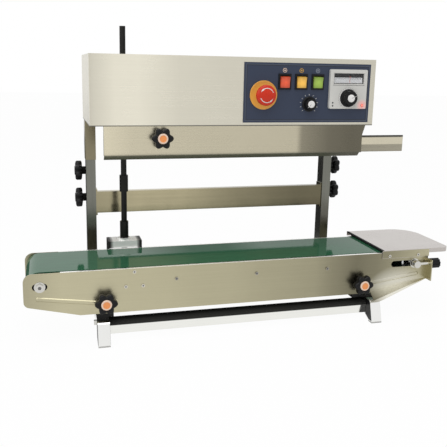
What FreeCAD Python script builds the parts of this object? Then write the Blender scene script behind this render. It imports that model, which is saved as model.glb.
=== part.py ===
import FreeCAD, Part
import math
import os
from FreeCAD import Vector

# Vertical band sealer with a belt conveyor.
# Sizes are in millimetres. While a piece is drawn, X runs from the left end of the conveyor's
# side plates, Y from the outer face of the front plate and Z from the floor. Every piece is then
# moved so that the origin is at the middle of the footprint, on the floor.

# Clearances
RUNNING_CLEARANCE = 0.05      # shaft in its bore, radial
SLIDING_CLEARANCE = 0.2       # flat guides, each side
CLEARANCE = 0.3               # pieces that pass or face each other

# Conveyor frame
PLATE_LENGTH = 820.0
PLATE_HEIGHT = 84.0
PLATE_END_HEIGHT = 61.0
PLATE_THICKNESS = 2.0
PLATE_TAPER_LEFT = 100.0
PLATE_TAPER_RIGHT = 130.0
PLATE_TOP_CORNER = 16.0
PLATE_LOW_CORNER = 11.0
PLATE_DROP = 1.0              # top edge of the plates below the belt's surface
CONVEYOR_WIDTH = 140.0
HEM_START = 65.0
HEM_WIDTH = 5.5
RIB_RADIUS = 5.0
RIB_HEIGHT = 2.0
RIB_INSET = 25.0
RIB_LENGTH = 102.0
RIB_RISE = 14.0
RIB_DROP = 48.0
LIP_WIDTH = 18.0
LIP_TOP_DROP = 16.0
WING_REACH = 34.0
WING_TIP_WIDTH = 16.0
WING_LIFT = 2.0

# Belt and rollers
BELT_TOP = 137.0
BELT_THICKNESS = 2.0
BELT_EDGE_GAP = 5.0
ROLLER_RADIUS = 24.0          # inner radius of the belt's turn
ROLLER_END_GAP = 2.0
ROLLER_WALL = 4.0
ROLLER_HUB_RADIUS = 10.0
ROLLER_WEB = 14.0             # solid middle of a roller, between its end pockets
AXLE_RADIUS = 5.0
AXLE_HEAD_RADIUS = 7.5
AXLE_HEAD_HEIGHT = 4.5
WASHER_RADIUS = 10.0
WASHER_THICKNESS = 1.5
TAIL_X = 29.0
DRIVE_X = 200.0
IDLER_INSET = 32.0            # idler axis from the right end of the plates
TAIL_SLOT = 27.0
IDLER_SLOT = 60.0
SLOT_HEIGHT = 13.0
BEARING_FLANGE_RADIUS = 22.0
BEARING_WIDTH = 8.0
BEARING_SCREW_CIRCLE = 18.7
SCREW_HEAD_RADIUS = 3.2
SCREW_HEAD_HEIGHT = 2.0
SCREW_RADIUS = 1.6
BED_THICKNESS = 2.0
BED_EDGE = 4.0                # bed's side wall from the plate
BED_DEPTH = 12.0
BED_START = 62.0
BED_IDLER_GAP = 42.0
BED_DRIVE_GAP = 32.0
SPREADER_RADIUS = 6.0
SPREADERS = (280.0, 440.0, 590.0)

# Belt tension
TENSION_OFFSET = 9.0          # screw axis outside the plate
TENSION_SCREW_RADIUS = 3.0
TENSION_HOLE_RADIUS = 3.6
TENSION_EYE_RADIUS = 7.5
TENSION_EYE_WIDTH = 10.0
TENSION_KNOB_RADIUS = 10.5
TENSION_KNOB_LENGTH = 18.0
TENSION_KNOB_GRIPS = 10
TENSION_GRIP_RADIUS = 1.4

# Work table
TABLE_THICKNESS = 2.0
TABLE_GAP = 2.5               # above the belt
TABLE_OVERLAP = 108.0         # table over the conveyor
TABLE_LENGTH = 156.0
TABLE_FRONT = -2.0
TABLE_DEPTH = 164.0
TABLE_BACK_CORNER = 52.0
TABLE_FRONT_CORNER = 14.0
TABLE_RIM = 9.0
TABLE_FLANGE = 15.0
TABLE_FLANGE_LENGTH = 98.0
TABLE_SCREW_INSET = 16.0

# Base
LEG_LEFT_X = 140.0
LEG_RIGHT_X = 689.0
LEG_WIDTH = 22.0
LEG_TOP = 44.0
LEG_FRONT = -36.0
LEG_REAR = 300.0
LEG_SLOPE = 12.0
LEG_WALL = 2.0
LEG_BEND = 7.0
LEG_FLANGE = 20.0
FOOT_DEPTH = 14.0
FOOT_CURVE = 46.0
PAD_HEIGHT = 3.0
RAIL_HEIGHT = 22.0
RAIL_DEPTH = 30.0
RAIL_WALL = 1.5
RAIL_BOTTOM = 14.0
RAIL_FRONT = -8.0
RAIL_REAR_INSET = 34.0        # rear face of the rear rail from the rear feet
BRACKET_THICKNESS = 3.0
BRACKET_WIDTH = 30.0
BRACKET_HEAD = 12.0           # metal above the top of the slot
POST_WIDTH = 20.0
POST_DEPTH = 30.0
POST_WALL = 1.5
POST_FRONT = 238.0
POST_TOP = 307.0
BAR_BOTTOM = 190.0
BAR_HEIGHT = 47.0
BAR_DEPTH = 14.0
BAR_WALL = 2.0
BAR_SETBACK = 3.0
BAR_END_MARGIN = 5.0
BAR_END_DEPTH = 24.0
BAR_END_THICKNESS = 3.0
BOLT_HEAD_RADIUS = 5.0
BOLT_HEAD_HEIGHT = 4.0
BOLT_RADIUS = 3.0

# Star knobs
KNOB_LOBES = 6
KNOB_CORE_RADIUS = 16.5
KNOB_LOBE_RADIUS = 5.0
KNOB_TIP_RADIUS = 21.0
KNOB_HUB_RADIUS = 8.5
KNOB_HUB_LENGTH = 8.0
KNOB_HEAD_LENGTH = 14.0
KNOB_CAP_RADIUS = 9.5
KNOB_CAP_HEIGHT = 1.5
KNOB_STUD_RADIUS = 4.0
STUD_HOLE_RADIUS = 4.6
LEFT_KNOB_OFFSET = 6.0        # conveyor knob from the middle of its leg
RIGHT_KNOB_OFFSET = -24.0
CONVEYOR_KNOB_DROP = 61.0     # below the belt
CONVEYOR_TRAVEL = 20.0
POST_KNOB_DROPS = (24.0, 83.0)   # below the top of the post

# Upright drive shaft and bevel gears
SHAFT_OFFSET = 14.0           # shaft axis behind the rear plate
SHAFT_RADIUS = 6.0
SHAFT_FLATS = 11.0
SHAFT_PROUD = 55.0            # above the head
SLEEVE_RADIUS = 8.7
SLEEVE_LENGTH = 34.0
SLEEVE_SPACING = 62.7         # between the sleeves
BEVEL_TEETH = 20
BEVEL_MODULE = 1.2
BEVEL_FACE = 5.0
BEVEL_HUB = 6.0
BRIDGE_WIDTH = 69.5
BRIDGE_DEPTH = 38.0
BRIDGE_WALL = 3.0
BRIDGE_RISE = 14.0            # top of the bridge above the belt
BRIDGE_DROP = 42.0            # foot of the bridge below the belt
BRIDGE_FOOT = 12.0
BRIDGE_HUB_RADIUS = 13.0
BRIDGE_HUB_HEIGHT = 5.0

# Head
HEAD_FRONT = 60.0
HEAD_RISE = 87.0              # bottom of the head above the posts
HEAD_HEIGHT = 132.0
HEAD_WALL = 1.5
HEAD_REAR_GAP = 3.0           # behind the sleeves
SLEEVE_STEP = 1.0             # slide sleeve wider than the post, each side
SLEEVE_TUBE_WALL = 1.5
SLEEVE_PLUG = 20.0            # solid foot of the sleeve, where the inner bar is fixed
SLIDE_BAR_LENGTH = 157.0
FLOOR_THICKNESS = 3.0
FLOOR_RISE = 1.5
TOP_HOLE_RADIUS = 9.0
LOUVRE_COUNT = 14
LOUVRE_PITCH = 12.0
LOUVRE_WIDTH = 4.0
LOUVRE_HEIGHT = 46.0
INLET_WIDTH = 28.0
INLET_HEIGHT = 22.0
INLET_DEPTH = 24.0
INLET_PROUD = 5.0
INLET_INSET = 91.5            # from the right end of the head
INLET_RISE = 34.0

# Sealing bands and their wheels
WHEEL_TEETH = 32
SHAFT_GEAR_TEETH = 40
GEAR_MODULE = 1.25
GEAR_WIDTH = 9.0
GEAR_LIFT = 3.0
BAND_THICKNESS = 0.8
BAND_WIDTH = 15.0
BAND_RISE = 12.0              # middle of the bands above the guard's lower edge
BAND_GAP = 0.2
WHEEL_GUARD_GAP = 2.0
WHEEL_SHAFT_RADIUS = 5.0
IDLER_WHEEL_INSET = 101.5     # from the right end of the head
BOSS_RADIUS = 11.0
BOSS_GAP = 8.0                # above the bands
GEAR_HUB_RADIUS = 12.0
BLOCK_LENGTH = 66.0
BLOCK_HEIGHT = 14.0
BLOCK_THICKNESS = 12.0
BLOCK_STEM_RADIUS = 5.0
HEATING_OFFSET = 130.0        # from the idling wheels
COOLING_OFFSET = 240.0
MOTOR_LENGTH = 120.0
MOTOR_RADIUS = 30.0
GEARBOX_LENGTH = 88.0
GEARBOX_DEPTH = 76.0
GEARBOX_HEIGHT = 62.0
GEARBOX_LIFT = 20.0
GEARBOX_FOOT_RADIUS = 5.0

# Guard
GUARD_SETBACK = 3.0
GUARD_LEFT_INSET = 25.5       # from the ends of the head
GUARD_RIGHT_INSET = 13.5
GUARD_HEIGHT = 55.7
GUARD_LIP = 8.0
GUARD_WALL = 1.5
GUARD_SIDE = 10.0
GUARD_CHAMFER_TOP = 6.0
GUARD_CHAMFER_HEIGHT = 20.0
GUARD_KNOB_INSET = 108.0      # from the left end of the guard
GUARD_KNOB_DROP = 22.0        # below the head
GUARD_STRAP_WIDTH = 22.0
GUARD_STRAP_GAP = 3.0
GUARD_STRAP_DEPTH = 3.0
GUARD_STRAP_FOOT = 10.0

# In-feed guide
GUIDE_WHEEL_GAP = 30.0        # from the idling wheels' axis
GUIDE_LENGTH = 170.0
GUIDE_GAP = 8.0
GUIDE_WALL = 1.2
GUIDE_HALF_HEIGHT = 16.0
GUIDE_LEAN = 5.0
GUIDE_REAR_EXTRA = 6.0
GUIDE_HANGER_INSET = 34.0
GUIDE_HANGER_WIDTH = 24.0

# Control panel
PANEL_WIDTH = 268.0
PANEL_INSET = 11.5            # from the right end of the head
PANEL_RISE = 6.5
PANEL_HEIGHT = 116.0
PANEL_THICKNESS = 1.5
PANEL_MARGIN = 6.0
ESTOP_PLACE = (40.0, 53.5)    # from the panel's lower left corner
ESTOP_PLATE_RADIUS = 28.0
ESTOP_PLATE_THICKNESS = 2.5
ESTOP_RING_RADIUS = 15.0
ESTOP_RING_HEIGHT = 6.0
ESTOP_STEM_RADIUS = 10.0
ESTOP_BODY_RADIUS = 13.0
ESTOP_BODY_DEPTH = 30.0
ESTOP_HEAD_RADIUS = 20.0
ESTOP_HEAD_EDGE = 6.0
ESTOP_HEAD_DOME = 6.0
ESTOP_TRAVEL = 6.0
SWITCH_PLACE = (83.0, 79.8)
SWITCH_PITCH = 34.8
SWITCH_COUNT = 3
SWITCH_WIDTH = 26.0
SWITCH_HEIGHT = 30.5
SWITCH_PROUD = 2.5
SWITCH_FRAME = 3.4
SWITCH_BODY_DEPTH = 22.0
ROCKER_TILT = 8.0
ROCKER_PROUD = 4.0
ROCKER_GAP = 1.4
ROCKER_DEPTH = 8.0
SPEED_PLACE = (136.3, 36.5)
SPEED_RADIUS = 15.0
SPEED_TOP_RADIUS = 12.0
SPEED_HEIGHT = 13.0
SPEED_CAP_RADIUS = 7.0
TEMP_KNOB_RADIUS = 18.0
TEMP_KNOB_TOP_RADIUS = 14.5
TEMP_KNOB_HEIGHT = 14.0
TEMP_CAP_RADIUS = 7.5
DIAL_CAP_HEIGHT = 1.2
DIAL_SKIRT = 3.0
DIAL_STEM_RADIUS = 3.0
DIAL_STEM_LENGTH = 12.0
CONTROLLER_PLACE = (217.6, 66.5)
CONTROLLER_WIDTH = 80.5
CONTROLLER_HEIGHT = 77.5
CONTROLLER_PROUD = 7.0
CONTROLLER_CORNER = 3.0
CONTROLLER_BODY = 66.0
CONTROLLER_DEPTH = 72.0
WINDOW_WIDTH = 65.0
WINDOW_HEIGHT = 20.5
WINDOW_LIFT = 21.0            # above the middle of the controller
WINDOW_DEPTH = 4.0
WINDOW_THICKNESS = 1.5
TEMP_KNOB_DROP = 17.5

# Places that follow from the sizes above
HEM_END = PLATE_LENGTH - TABLE_OVERLAP
TABLE_START = PLATE_LENGTH - TABLE_OVERLAP
CONVEYOR_KNOB_LEFT_X = LEG_LEFT_X + LEFT_KNOB_OFFSET
CONVEYOR_KNOB_RIGHT_X = LEG_RIGHT_X + RIGHT_KNOB_OFFSET
CONVEYOR_KNOB_Z = BELT_TOP - CONVEYOR_KNOB_DROP
SHAFT_Y = CONVEYOR_WIDTH + SHAFT_OFFSET
HEAD_BOTTOM = POST_TOP + HEAD_RISE
PLATE_TOP = BELT_TOP - PLATE_DROP
PLATE_BOTTOM = PLATE_TOP - PLATE_HEIGHT
PLATE_END_BOTTOM = PLATE_TOP - PLATE_END_HEIGHT
ROLLER_Z = BELT_TOP - BELT_THICKNESS - ROLLER_RADIUS
IDLER_X = PLATE_LENGTH - IDLER_INSET
BELT_FRONT = PLATE_THICKNESS + BELT_EDGE_GAP
BELT_REAR = CONVEYOR_WIDTH - BELT_FRONT
TABLE_Z = BELT_TOP + TABLE_GAP
TABLE_END = TABLE_START + TABLE_LENGTH
POST_Y = POST_FRONT + POST_DEPTH / 2
SLIDE_BOTTOM = POST_TOP + CLEARANCE
SLEEVE_X = POST_WIDTH / 2 + SLEEVE_STEP
SLEEVE_Y = POST_DEPTH / 2 + SLEEVE_STEP
HEAD_LEFT = LEG_LEFT_X - SLEEVE_X - HEAD_WALL
HEAD_RIGHT = LEG_RIGHT_X + SLEEVE_X + HEAD_WALL
HEAD_TOP = HEAD_BOTTOM + HEAD_HEIGHT
HEAD_REAR = POST_Y + SLEEVE_Y + HEAD_REAR_GAP
SHAFT_TOP = HEAD_TOP + SHAFT_PROUD
SLIDE_BAR_BOTTOM = POST_TOP - SLIDE_BAR_LENGTH
INLET_X = HEAD_RIGHT - INLET_INSET
FLOOR_Z = HEAD_BOTTOM + FLOOR_RISE
FLOOR_TOP = FLOOR_Z + FLOOR_THICKNESS
GUARD_FRONT = HEAD_FRONT + GUARD_SETBACK
GUARD_LEFT = HEAD_LEFT + GUARD_LEFT_INSET
GUARD_RIGHT = HEAD_RIGHT - GUARD_RIGHT_INSET
GUARD_TOP = HEAD_BOTTOM - CLEARANCE
GUARD_BOTTOM = GUARD_TOP - GUARD_HEIGHT
GUARD_KNOB_X = GUARD_LEFT + GUARD_KNOB_INSET
GUARD_KNOB_Z = HEAD_BOTTOM - GUARD_KNOB_DROP
BAND_Z = GUARD_BOTTOM + BAND_RISE
BOSS_LENGTH = FLOOR_Z - BAND_Z - BAND_WIDTH / 2 - BOSS_GAP
IDLER_WHEEL_X = HEAD_RIGHT - IDLER_WHEEL_INSET
HEATING_X = IDLER_WHEEL_X - HEATING_OFFSET
COOLING_X = IDLER_WHEEL_X - COOLING_OFFSET
GUIDE_START = IDLER_WHEEL_X + GUIDE_WHEEL_GAP
GUIDE_END = GUIDE_START + GUIDE_LENGTH
GUIDE_HANGER_X = GUIDE_START + GUIDE_HANGER_INSET
GUIDE_BOTTOM = BAND_Z - GUIDE_HALF_HEIGHT
GUIDE_BEND = BAND_Z
GUIDE_TOP = BAND_Z + GUIDE_HALF_HEIGHT
WHEEL_PITCH_RADIUS = WHEEL_TEETH * GEAR_MODULE / 2
SHAFT_GEAR_RADIUS = SHAFT_GEAR_TEETH * GEAR_MODULE / 2
FRONT_WHEEL_Y = GUARD_FRONT + GUARD_WALL + WHEEL_GUARD_GAP + WHEEL_PITCH_RADIUS
REAR_WHEEL_Y = FRONT_WHEEL_Y + 2 * WHEEL_PITCH_RADIUS
SEAL_Y = FRONT_WHEEL_Y + WHEEL_PITCH_RADIUS
GEAR_REACH = WHEEL_PITCH_RADIUS + SHAFT_GEAR_RADIUS
DRIVE_WHEEL_X = DRIVE_X + math.sqrt(GEAR_REACH ** 2 - (SHAFT_Y - REAR_WHEEL_Y) ** 2)
BAND_OUTER = WHEEL_PITCH_RADIUS - BAND_GAP
BAND_INNER = BAND_OUTER - BAND_THICKNESS
GEAR_Z = FLOOR_TOP + GEAR_LIFT
BEVEL_RADIUS = BEVEL_TEETH * BEVEL_MODULE / 2
PINION_TOP = ROLLER_Z + BEVEL_RADIUS + BEVEL_HUB
BRIDGE_TOP = BELT_TOP + BRIDGE_RISE
LOWER_SLEEVE_Z = BRIDGE_TOP + BRIDGE_HUB_HEIGHT + CLEARANCE
LOWER_SLEEVE_TOP = LOWER_SLEEVE_Z + SLEEVE_LENGTH
UPPER_SLEEVE_Z = LOWER_SLEEVE_TOP + SLEEVE_SPACING
BED_END = IDLER_X - ROLLER_RADIUS - BED_IDLER_GAP
PANEL_RIGHT = HEAD_RIGHT - PANEL_INSET
PANEL_LEFT = PANEL_RIGHT - PANEL_WIDTH
PANEL_BOTTOM = HEAD_BOTTOM + PANEL_RISE
PANEL_TOP = PANEL_BOTTOM + PANEL_HEIGHT
ESTOP_X = PANEL_LEFT + ESTOP_PLACE[0]
ESTOP_Z = PANEL_BOTTOM + ESTOP_PLACE[1]
SWITCH_XS = tuple(PANEL_LEFT + SWITCH_PLACE[0] + SWITCH_PITCH * index for index in range(SWITCH_COUNT))
SWITCH_Z = PANEL_BOTTOM + SWITCH_PLACE[1]
SPEED_X = PANEL_LEFT + SPEED_PLACE[0]
SPEED_Z = PANEL_BOTTOM + SPEED_PLACE[1]
CONTROLLER_X = PANEL_LEFT + CONTROLLER_PLACE[0]
CONTROLLER_Z = PANEL_BOTTOM + CONTROLLER_PLACE[1]
WINDOW_Z = CONTROLLER_Z + WINDOW_LIFT
TEMP_KNOB_Z = CONTROLLER_Z - TEMP_KNOB_DROP
PANEL_FRONT = HEAD_FRONT - PANEL_THICKNESS
CONTROLLER_FRONT = PANEL_FRONT - CONTROLLER_PROUD

# Middle of the footprint
ORIGIN = Vector(TABLE_END / 2, (LEG_FRONT + LEG_REAR) / 2, 0)

X_AXIS = Vector(1, 0, 0)
Y_AXIS = Vector(0, 1, 0)
Z_AXIS = Vector(0, 0, 1)


def block(x0, x1, y0, y1, z0, z1):
    """A box between two corners."""
    return Part.makeBox(x1 - x0, y1 - y0, z1 - z0, Vector(x0, y0, z0))


def rod(start, axis, radius, length):
    """A round bar from a point along an axis."""
    return Part.makeCylinder(radius, length, Vector(*start), axis)


def fuse(first, *others):
    """One solid from overlapping or touching pieces."""
    return first.multiFuse(list(others)).removeSplitter()


def outline(corners, place):
    """A closed wire through corners (u, v) or (u, v, radius), the radius rounding that corner.
    place turns a corner's u and v into a point."""
    count = len(corners)
    starts = []
    ends = []
    middles = []
    for index in range(count):
        u, v = corners[index][:2]
        radius = corners[index][2] if len(corners[index]) > 2 else 0.0
        point = Vector(u, v, 0)
        before = Vector(*corners[index - 1][:2], 0) - point
        after = Vector(*corners[(index + 1) % count][:2], 0) - point
        before.normalize()
        after.normalize()
        half = before.getAngle(after) / 2
        reach = radius / math.tan(half) if radius else 0.0
        inward = before + after
        if radius:
            inward.normalize()
        starts.append(point + before * reach)
        ends.append(point + after * reach)
        middles.append(point + inward * (radius / math.sin(half) - radius) if radius else None)
    edges = []
    for index in range(count):
        if middles[index] is not None:
            arc = Part.Arc(place(starts[index]), place(middles[index]), place(ends[index]))
            edges.append(arc.toShape())
        nxt = starts[(index + 1) % count]
        if (nxt - ends[index]).Length > 1e-6:
            edges.append(Part.makeLine(place(ends[index]), place(nxt)))
    return Part.Wire(edges)


def prism_xz(corners, y0, y1):
    """A profile in X and Z, drawn out along Y."""
    wire = outline(corners, lambda p: Vector(p.x, y0, p.y))
    return Part.Face(wire).extrude(Vector(0, y1 - y0, 0))


def prism_xy(corners, z0, z1):
    """A profile in X and Y, drawn out along Z."""
    wire = outline(corners, lambda p: Vector(p.x, p.y, z0))
    return Part.Face(wire).extrude(Vector(0, 0, z1 - z0))


def prism_yz(corners, x0, x1):
    """A profile in Y and Z, drawn out along X."""
    wire = outline(corners, lambda p: Vector(x0, p.x, p.y))
    return Part.Face(wire).extrude(Vector(x1 - x0, 0, 0))


def slot_y(x0, x1, z, height, y0, y1):
    """A round-ended slot cutter along X, running through in Y."""
    radius = height / 2
    middle = block(x0 + radius, x1 - radius, y0, y1, z - radius, z + radius)
    left = rod((x0 + radius, y0, z), Y_AXIS, radius, y1 - y0)
    right = rod((x1 - radius, y0, z), Y_AXIS, radius, y1 - y0)
    return fuse(middle, left, right)


def slot_z(x, z0, z1, width, y0, y1):
    """A round-ended slot cutter along Z, running through in Y."""
    radius = width / 2
    middle = block(x - radius, x + radius, y0, y1, z0, z1)
    low = rod((x, y0, z0), Y_AXIS, radius, y1 - y0)
    high = rod((x, y0, z1), Y_AXIS, radius, y1 - y0)
    return fuse(middle, low, high)


def hexagon(radius, start, axis, length):
    """A six-sided bar whose corners lie on a radius."""
    points = []
    for index in range(7):
        angle = math.radians(60 * index + 30)
        points.append(Vector(radius * math.cos(angle), radius * math.sin(angle), 0))
    bar = Part.Face(Part.makePolygon(points)).extrude(Vector(0, 0, length))
    bar.Placement = FreeCAD.Placement(Vector(*start), FreeCAD.Rotation(Z_AXIS, axis))
    return bar


def toothed_wheel(teeth, module, radius_factor=1.0):
    """Corner points of a spur gear, a tooth pointing along +X. radius_factor scales the outline."""
    pitch = teeth * module / 2
    step = 2 * math.pi / teeth
    corners = ((-0.30, -1.2), (-0.12, 0.9), (0.12, 0.9), (0.30, -1.2))
    points = []
    for tooth in range(teeth):
        for turn, height in corners:
            angle = (tooth + turn) * step
            radius = (pitch + height * module) * radius_factor
            points.append(Vector(radius * math.cos(angle), radius * math.sin(angle), 0))
    return points


def spur_gear(teeth, centre, z, first_tooth):
    """A spur gear about an upright axis, with a tooth in the direction first_tooth in degrees."""
    points = toothed_wheel(teeth, GEAR_MODULE)
    gear = Part.Face(Part.makePolygon(points + points[:1])).extrude(Vector(0, 0, GEAR_WIDTH))
    turn = FreeCAD.Rotation(Z_AXIS, first_tooth)
    gear.Placement = FreeCAD.Placement(Vector(centre[0], centre[1], z), turn)
    return gear


def bevel_gear_form(half_step):
    """A mitre gear about +Z, its large end at 0 and its apex above, with a hub below."""
    large = toothed_wheel(BEVEL_TEETH, BEVEL_MODULE * 0.75)
    scale = 1 / 0.75
    shrink = (BEVEL_RADIUS - BEVEL_FACE) / BEVEL_RADIUS
    wires = []
    for factor, height in ((scale, 0.0), (scale * shrink, BEVEL_FACE)):
        points = [Vector(p.x * factor, p.y * factor, height) for p in large]
        wires.append(Part.makePolygon(points + points[:1]))
    body = Part.makeLoft(wires, True, True)
    hub = rod((0, 0, -BEVEL_HUB), Z_AXIS, BEVEL_RADIUS * 0.75, BEVEL_HUB)
    bore = rod((0, 0, -BEVEL_HUB), Z_AXIS, AXLE_RADIUS, BEVEL_HUB + BEVEL_FACE)
    gear = fuse(body, hub).cut(bore)
    if half_step:
        gear.rotate(Vector(0, 0, 0), Z_AXIS, 180.0 / BEVEL_TEETH)
    return gear


def star_knob(seat, axis, stud_length):
    """A lobed hand knob with its stud. seat is the middle of the hub's end, axis points outwards."""
    head_start = KNOB_HUB_LENGTH
    head_end = KNOB_HUB_LENGTH + KNOB_HEAD_LENGTH
    pieces = [rod((0, 0, head_start), Z_AXIS, KNOB_CORE_RADIUS, KNOB_HEAD_LENGTH)]
    for index in range(KNOB_LOBES):
        angle = 2 * math.pi * index / KNOB_LOBES
        reach = KNOB_TIP_RADIUS - KNOB_LOBE_RADIUS
        centre = (reach * math.cos(angle), reach * math.sin(angle), head_start)
        pieces.append(rod(centre, Z_AXIS, KNOB_LOBE_RADIUS, KNOB_HEAD_LENGTH))
    pieces.append(rod((0, 0, 0), Z_AXIS, KNOB_HUB_RADIUS, head_start))
    pieces.append(rod((0, 0, head_end), Z_AXIS, KNOB_CAP_RADIUS, KNOB_CAP_HEIGHT))
    pieces.append(rod((0, 0, -stud_length), Z_AXIS, KNOB_STUD_RADIUS, stud_length + 1))
    knob = fuse(*pieces)
    knob.Placement = FreeCAD.Placement(Vector(*seat), FreeCAD.Rotation(Z_AXIS, axis))
    return knob


def pan_screw(seat, axis, length):
    """A screw with a low round head. seat is under the head, axis points from shank to head."""
    point = Vector(*seat)
    head = Part.makeCylinder(SCREW_HEAD_RADIUS, SCREW_HEAD_HEIGHT, point, axis)
    shank = Part.makeCylinder(SCREW_RADIUS, length, point, axis * -1)
    return fuse(head, shank)


def hex_bolt(seat, axis, length):
    """A hexagon bolt. seat is under the head, axis points from shank to head."""
    point = Vector(*seat)
    head = hexagon(BOLT_HEAD_RADIUS, seat, axis, BOLT_HEAD_HEIGHT)
    shank = Part.makeCylinder(BOLT_RADIUS, length, point, axis * -1)
    return fuse(head, shank)


def legs():
    """Two inverted channels that run front to back, with feet that splay outwards."""
    solids = []
    for x in (LEG_LEFT_X, LEG_RIGHT_X):
        front_top = LEG_FRONT + LEG_SLOPE
        rear_top = LEG_REAR - LEG_SLOPE
        under = LEG_TOP - LEG_FLANGE
        profile = [
            (LEG_FRONT, PAD_HEIGHT), (front_top, LEG_TOP, LEG_BEND),
            (rear_top, LEG_TOP, LEG_BEND), (LEG_REAR, PAD_HEIGHT),
            (LEG_REAR - FOOT_DEPTH, PAD_HEIGHT), (rear_top - FOOT_CURVE, under, 3 * LEG_BEND),
            (front_top + FOOT_CURVE, under, 3 * LEG_BEND), (LEG_FRONT + FOOT_DEPTH, PAD_HEIGHT),
        ]
        body = prism_yz(profile, x - LEG_WIDTH / 2, x + LEG_WIDTH / 2)
        inside = [
            (LEG_FRONT + LEG_WALL, 0), (front_top + LEG_WALL, LEG_TOP - LEG_WALL, LEG_BEND),
            (rear_top - LEG_WALL, LEG_TOP - LEG_WALL, LEG_BEND), (LEG_REAR - LEG_WALL, 0),
        ]
        half = LEG_WIDTH / 2 - LEG_WALL
        solids.append(body.cut(prism_yz(inside, x - half, x + half)))
    return solids


def rubber_feet():
    """Four pads under the ends of the legs."""
    solids = []
    for x in (LEG_LEFT_X, LEG_RIGHT_X):
        for y in (LEG_FRONT, LEG_REAR - FOOT_DEPTH):
            solids.append(block(x - LEG_WIDTH / 2, x + LEG_WIDTH / 2, y, y + FOOT_DEPTH, 0, PAD_HEIGHT))
    return solids


def rail_starts():
    """Front face of each cross rail."""
    return (RAIL_FRONT, LEG_REAR - RAIL_REAR_INSET - RAIL_DEPTH)


def base_rails():
    """Two rectangular tubes between the legs."""
    solids = []
    left = LEG_LEFT_X + LEG_WIDTH / 2
    right = LEG_RIGHT_X - LEG_WIDTH / 2
    top = RAIL_BOTTOM + RAIL_HEIGHT
    for y in rail_starts():
        outer = block(left, right, y, y + RAIL_DEPTH, RAIL_BOTTOM, top)
        inner = block(left, right, y + RAIL_WALL, y + RAIL_DEPTH - RAIL_WALL,
                      RAIL_BOTTOM + RAIL_WALL, top - RAIL_WALL)
        solids.append(outer.cut(inner))
    return solids


def conveyor_knob_places():
    """X of the knobs that clamp the conveyor, with the X of the leg under each."""
    return ((CONVEYOR_KNOB_LEFT_X, LEG_LEFT_X), (CONVEYOR_KNOB_RIGHT_X, LEG_RIGHT_X))


def clamp_brackets():
    """U-shaped straps on the legs, whose slotted tabs stand inside the conveyor's plates."""
    solids = []
    front = PLATE_THICKNESS + SLIDING_CLEARANCE
    rear = CONVEYOR_WIDTH - front
    top = CONVEYOR_KNOB_Z + CONVEYOR_TRAVEL + BRACKET_HEAD
    for knob_x, leg_x in conveyor_knob_places():
        left = knob_x - BRACKET_WIDTH / 2
        right = knob_x + BRACKET_WIDTH / 2
        foot_left = min(left, leg_x - LEG_WIDTH / 2)
        foot_right = max(right, leg_x + LEG_WIDTH / 2)
        foot = block(foot_left, foot_right, front, rear, LEG_TOP, LEG_TOP + BRACKET_THICKNESS)
        tabs = [
            block(left, right, front, front + BRACKET_THICKNESS, LEG_TOP, top),
            block(left, right, rear - BRACKET_THICKNESS, rear, LEG_TOP, top),
        ]
        slot = slot_z(knob_x, CONVEYOR_KNOB_Z, CONVEYOR_KNOB_Z + CONVEYOR_TRAVEL,
                      2 * STUD_HOLE_RADIUS, 0, CONVEYOR_WIDTH)
        solids.append(fuse(foot, *tabs).cut(slot))
    return solids


def posts():
    """Two upright rectangular tubes, with holes for the clamping studs on their outer sides."""
    solids = []
    for x, side in ((LEG_LEFT_X, -1), (LEG_RIGHT_X, 1)):
        half_x = POST_WIDTH / 2
        outer = block(x - half_x, x + half_x, POST_FRONT, POST_FRONT + POST_DEPTH, LEG_TOP, POST_TOP)
        inner = block(x - half_x + POST_WALL, x + half_x - POST_WALL, POST_FRONT + POST_WALL,
                      POST_FRONT + POST_DEPTH - POST_WALL, LEG_TOP, POST_TOP)
        tube = outer.cut(inner)
        for drop in POST_KNOB_DROPS:
            start = (x, POST_Y, POST_TOP - drop)
            tube = tube.cut(rod(start, X_AXIS * side, STUD_HOLE_RADIUS, POST_WIDTH))
        solids.append(tube)
    return solids


def cross_bar():
    """A shallow channel between the posts, with an end plate on each post."""
    left = LEG_LEFT_X + POST_WIDTH / 2
    right = LEG_RIGHT_X - POST_WIDTH / 2
    front = POST_FRONT + BAR_SETBACK
    top = BAR_BOTTOM + BAR_HEIGHT
    bar = block(left, right, front, front + BAR_DEPTH, BAR_BOTTOM, top)
    bar = bar.cut(block(left, right, front + BAR_WALL, front + BAR_DEPTH,
                        BAR_BOTTOM + BAR_WALL, top - BAR_WALL))
    ends = []
    for x in (left, right - BAR_END_THICKNESS):
        ends.append(block(x, x + BAR_END_THICKNESS, front, front + BAR_END_DEPTH,
                          BAR_BOTTOM - BAR_END_MARGIN, top + BAR_END_MARGIN))
    return fuse(bar, *ends)


def frame_bolts():
    """Bolts through the bar's end plates, and through the rails' ends from outside the legs."""
    solids = []
    bolt_y = POST_FRONT + BAR_SETBACK + (BAR_DEPTH + BAR_END_DEPTH) / 2
    for x, side in ((LEG_LEFT_X, 1), (LEG_RIGHT_X, -1)):
        seat = x + side * (POST_WIDTH / 2 + BAR_END_THICKNESS)
        for z in (BAR_BOTTOM + BAR_HEIGHT / 4, BAR_BOTTOM + BAR_HEIGHT * 3 / 4):
            solids.append(hex_bolt((seat, bolt_y, z), X_AXIS * side, BAR_END_THICKNESS))
        outside = x - side * LEG_WIDTH / 2
        bolt_z = (LEG_TOP - LEG_FLANGE + RAIL_BOTTOM + RAIL_HEIGHT) / 2
        for y in rail_starts():
            place = (outside, y + RAIL_DEPTH * 0.75, bolt_z)
            solids.append(hex_bolt(place, X_AXIS * -side, LEG_WALL))
    return solids


def drilled(shape, solids):
    """A shape with the shanks of fasteners cut out of it."""
    for solid in solids:
        shape = shape.cut(solid)
    return shape


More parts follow.
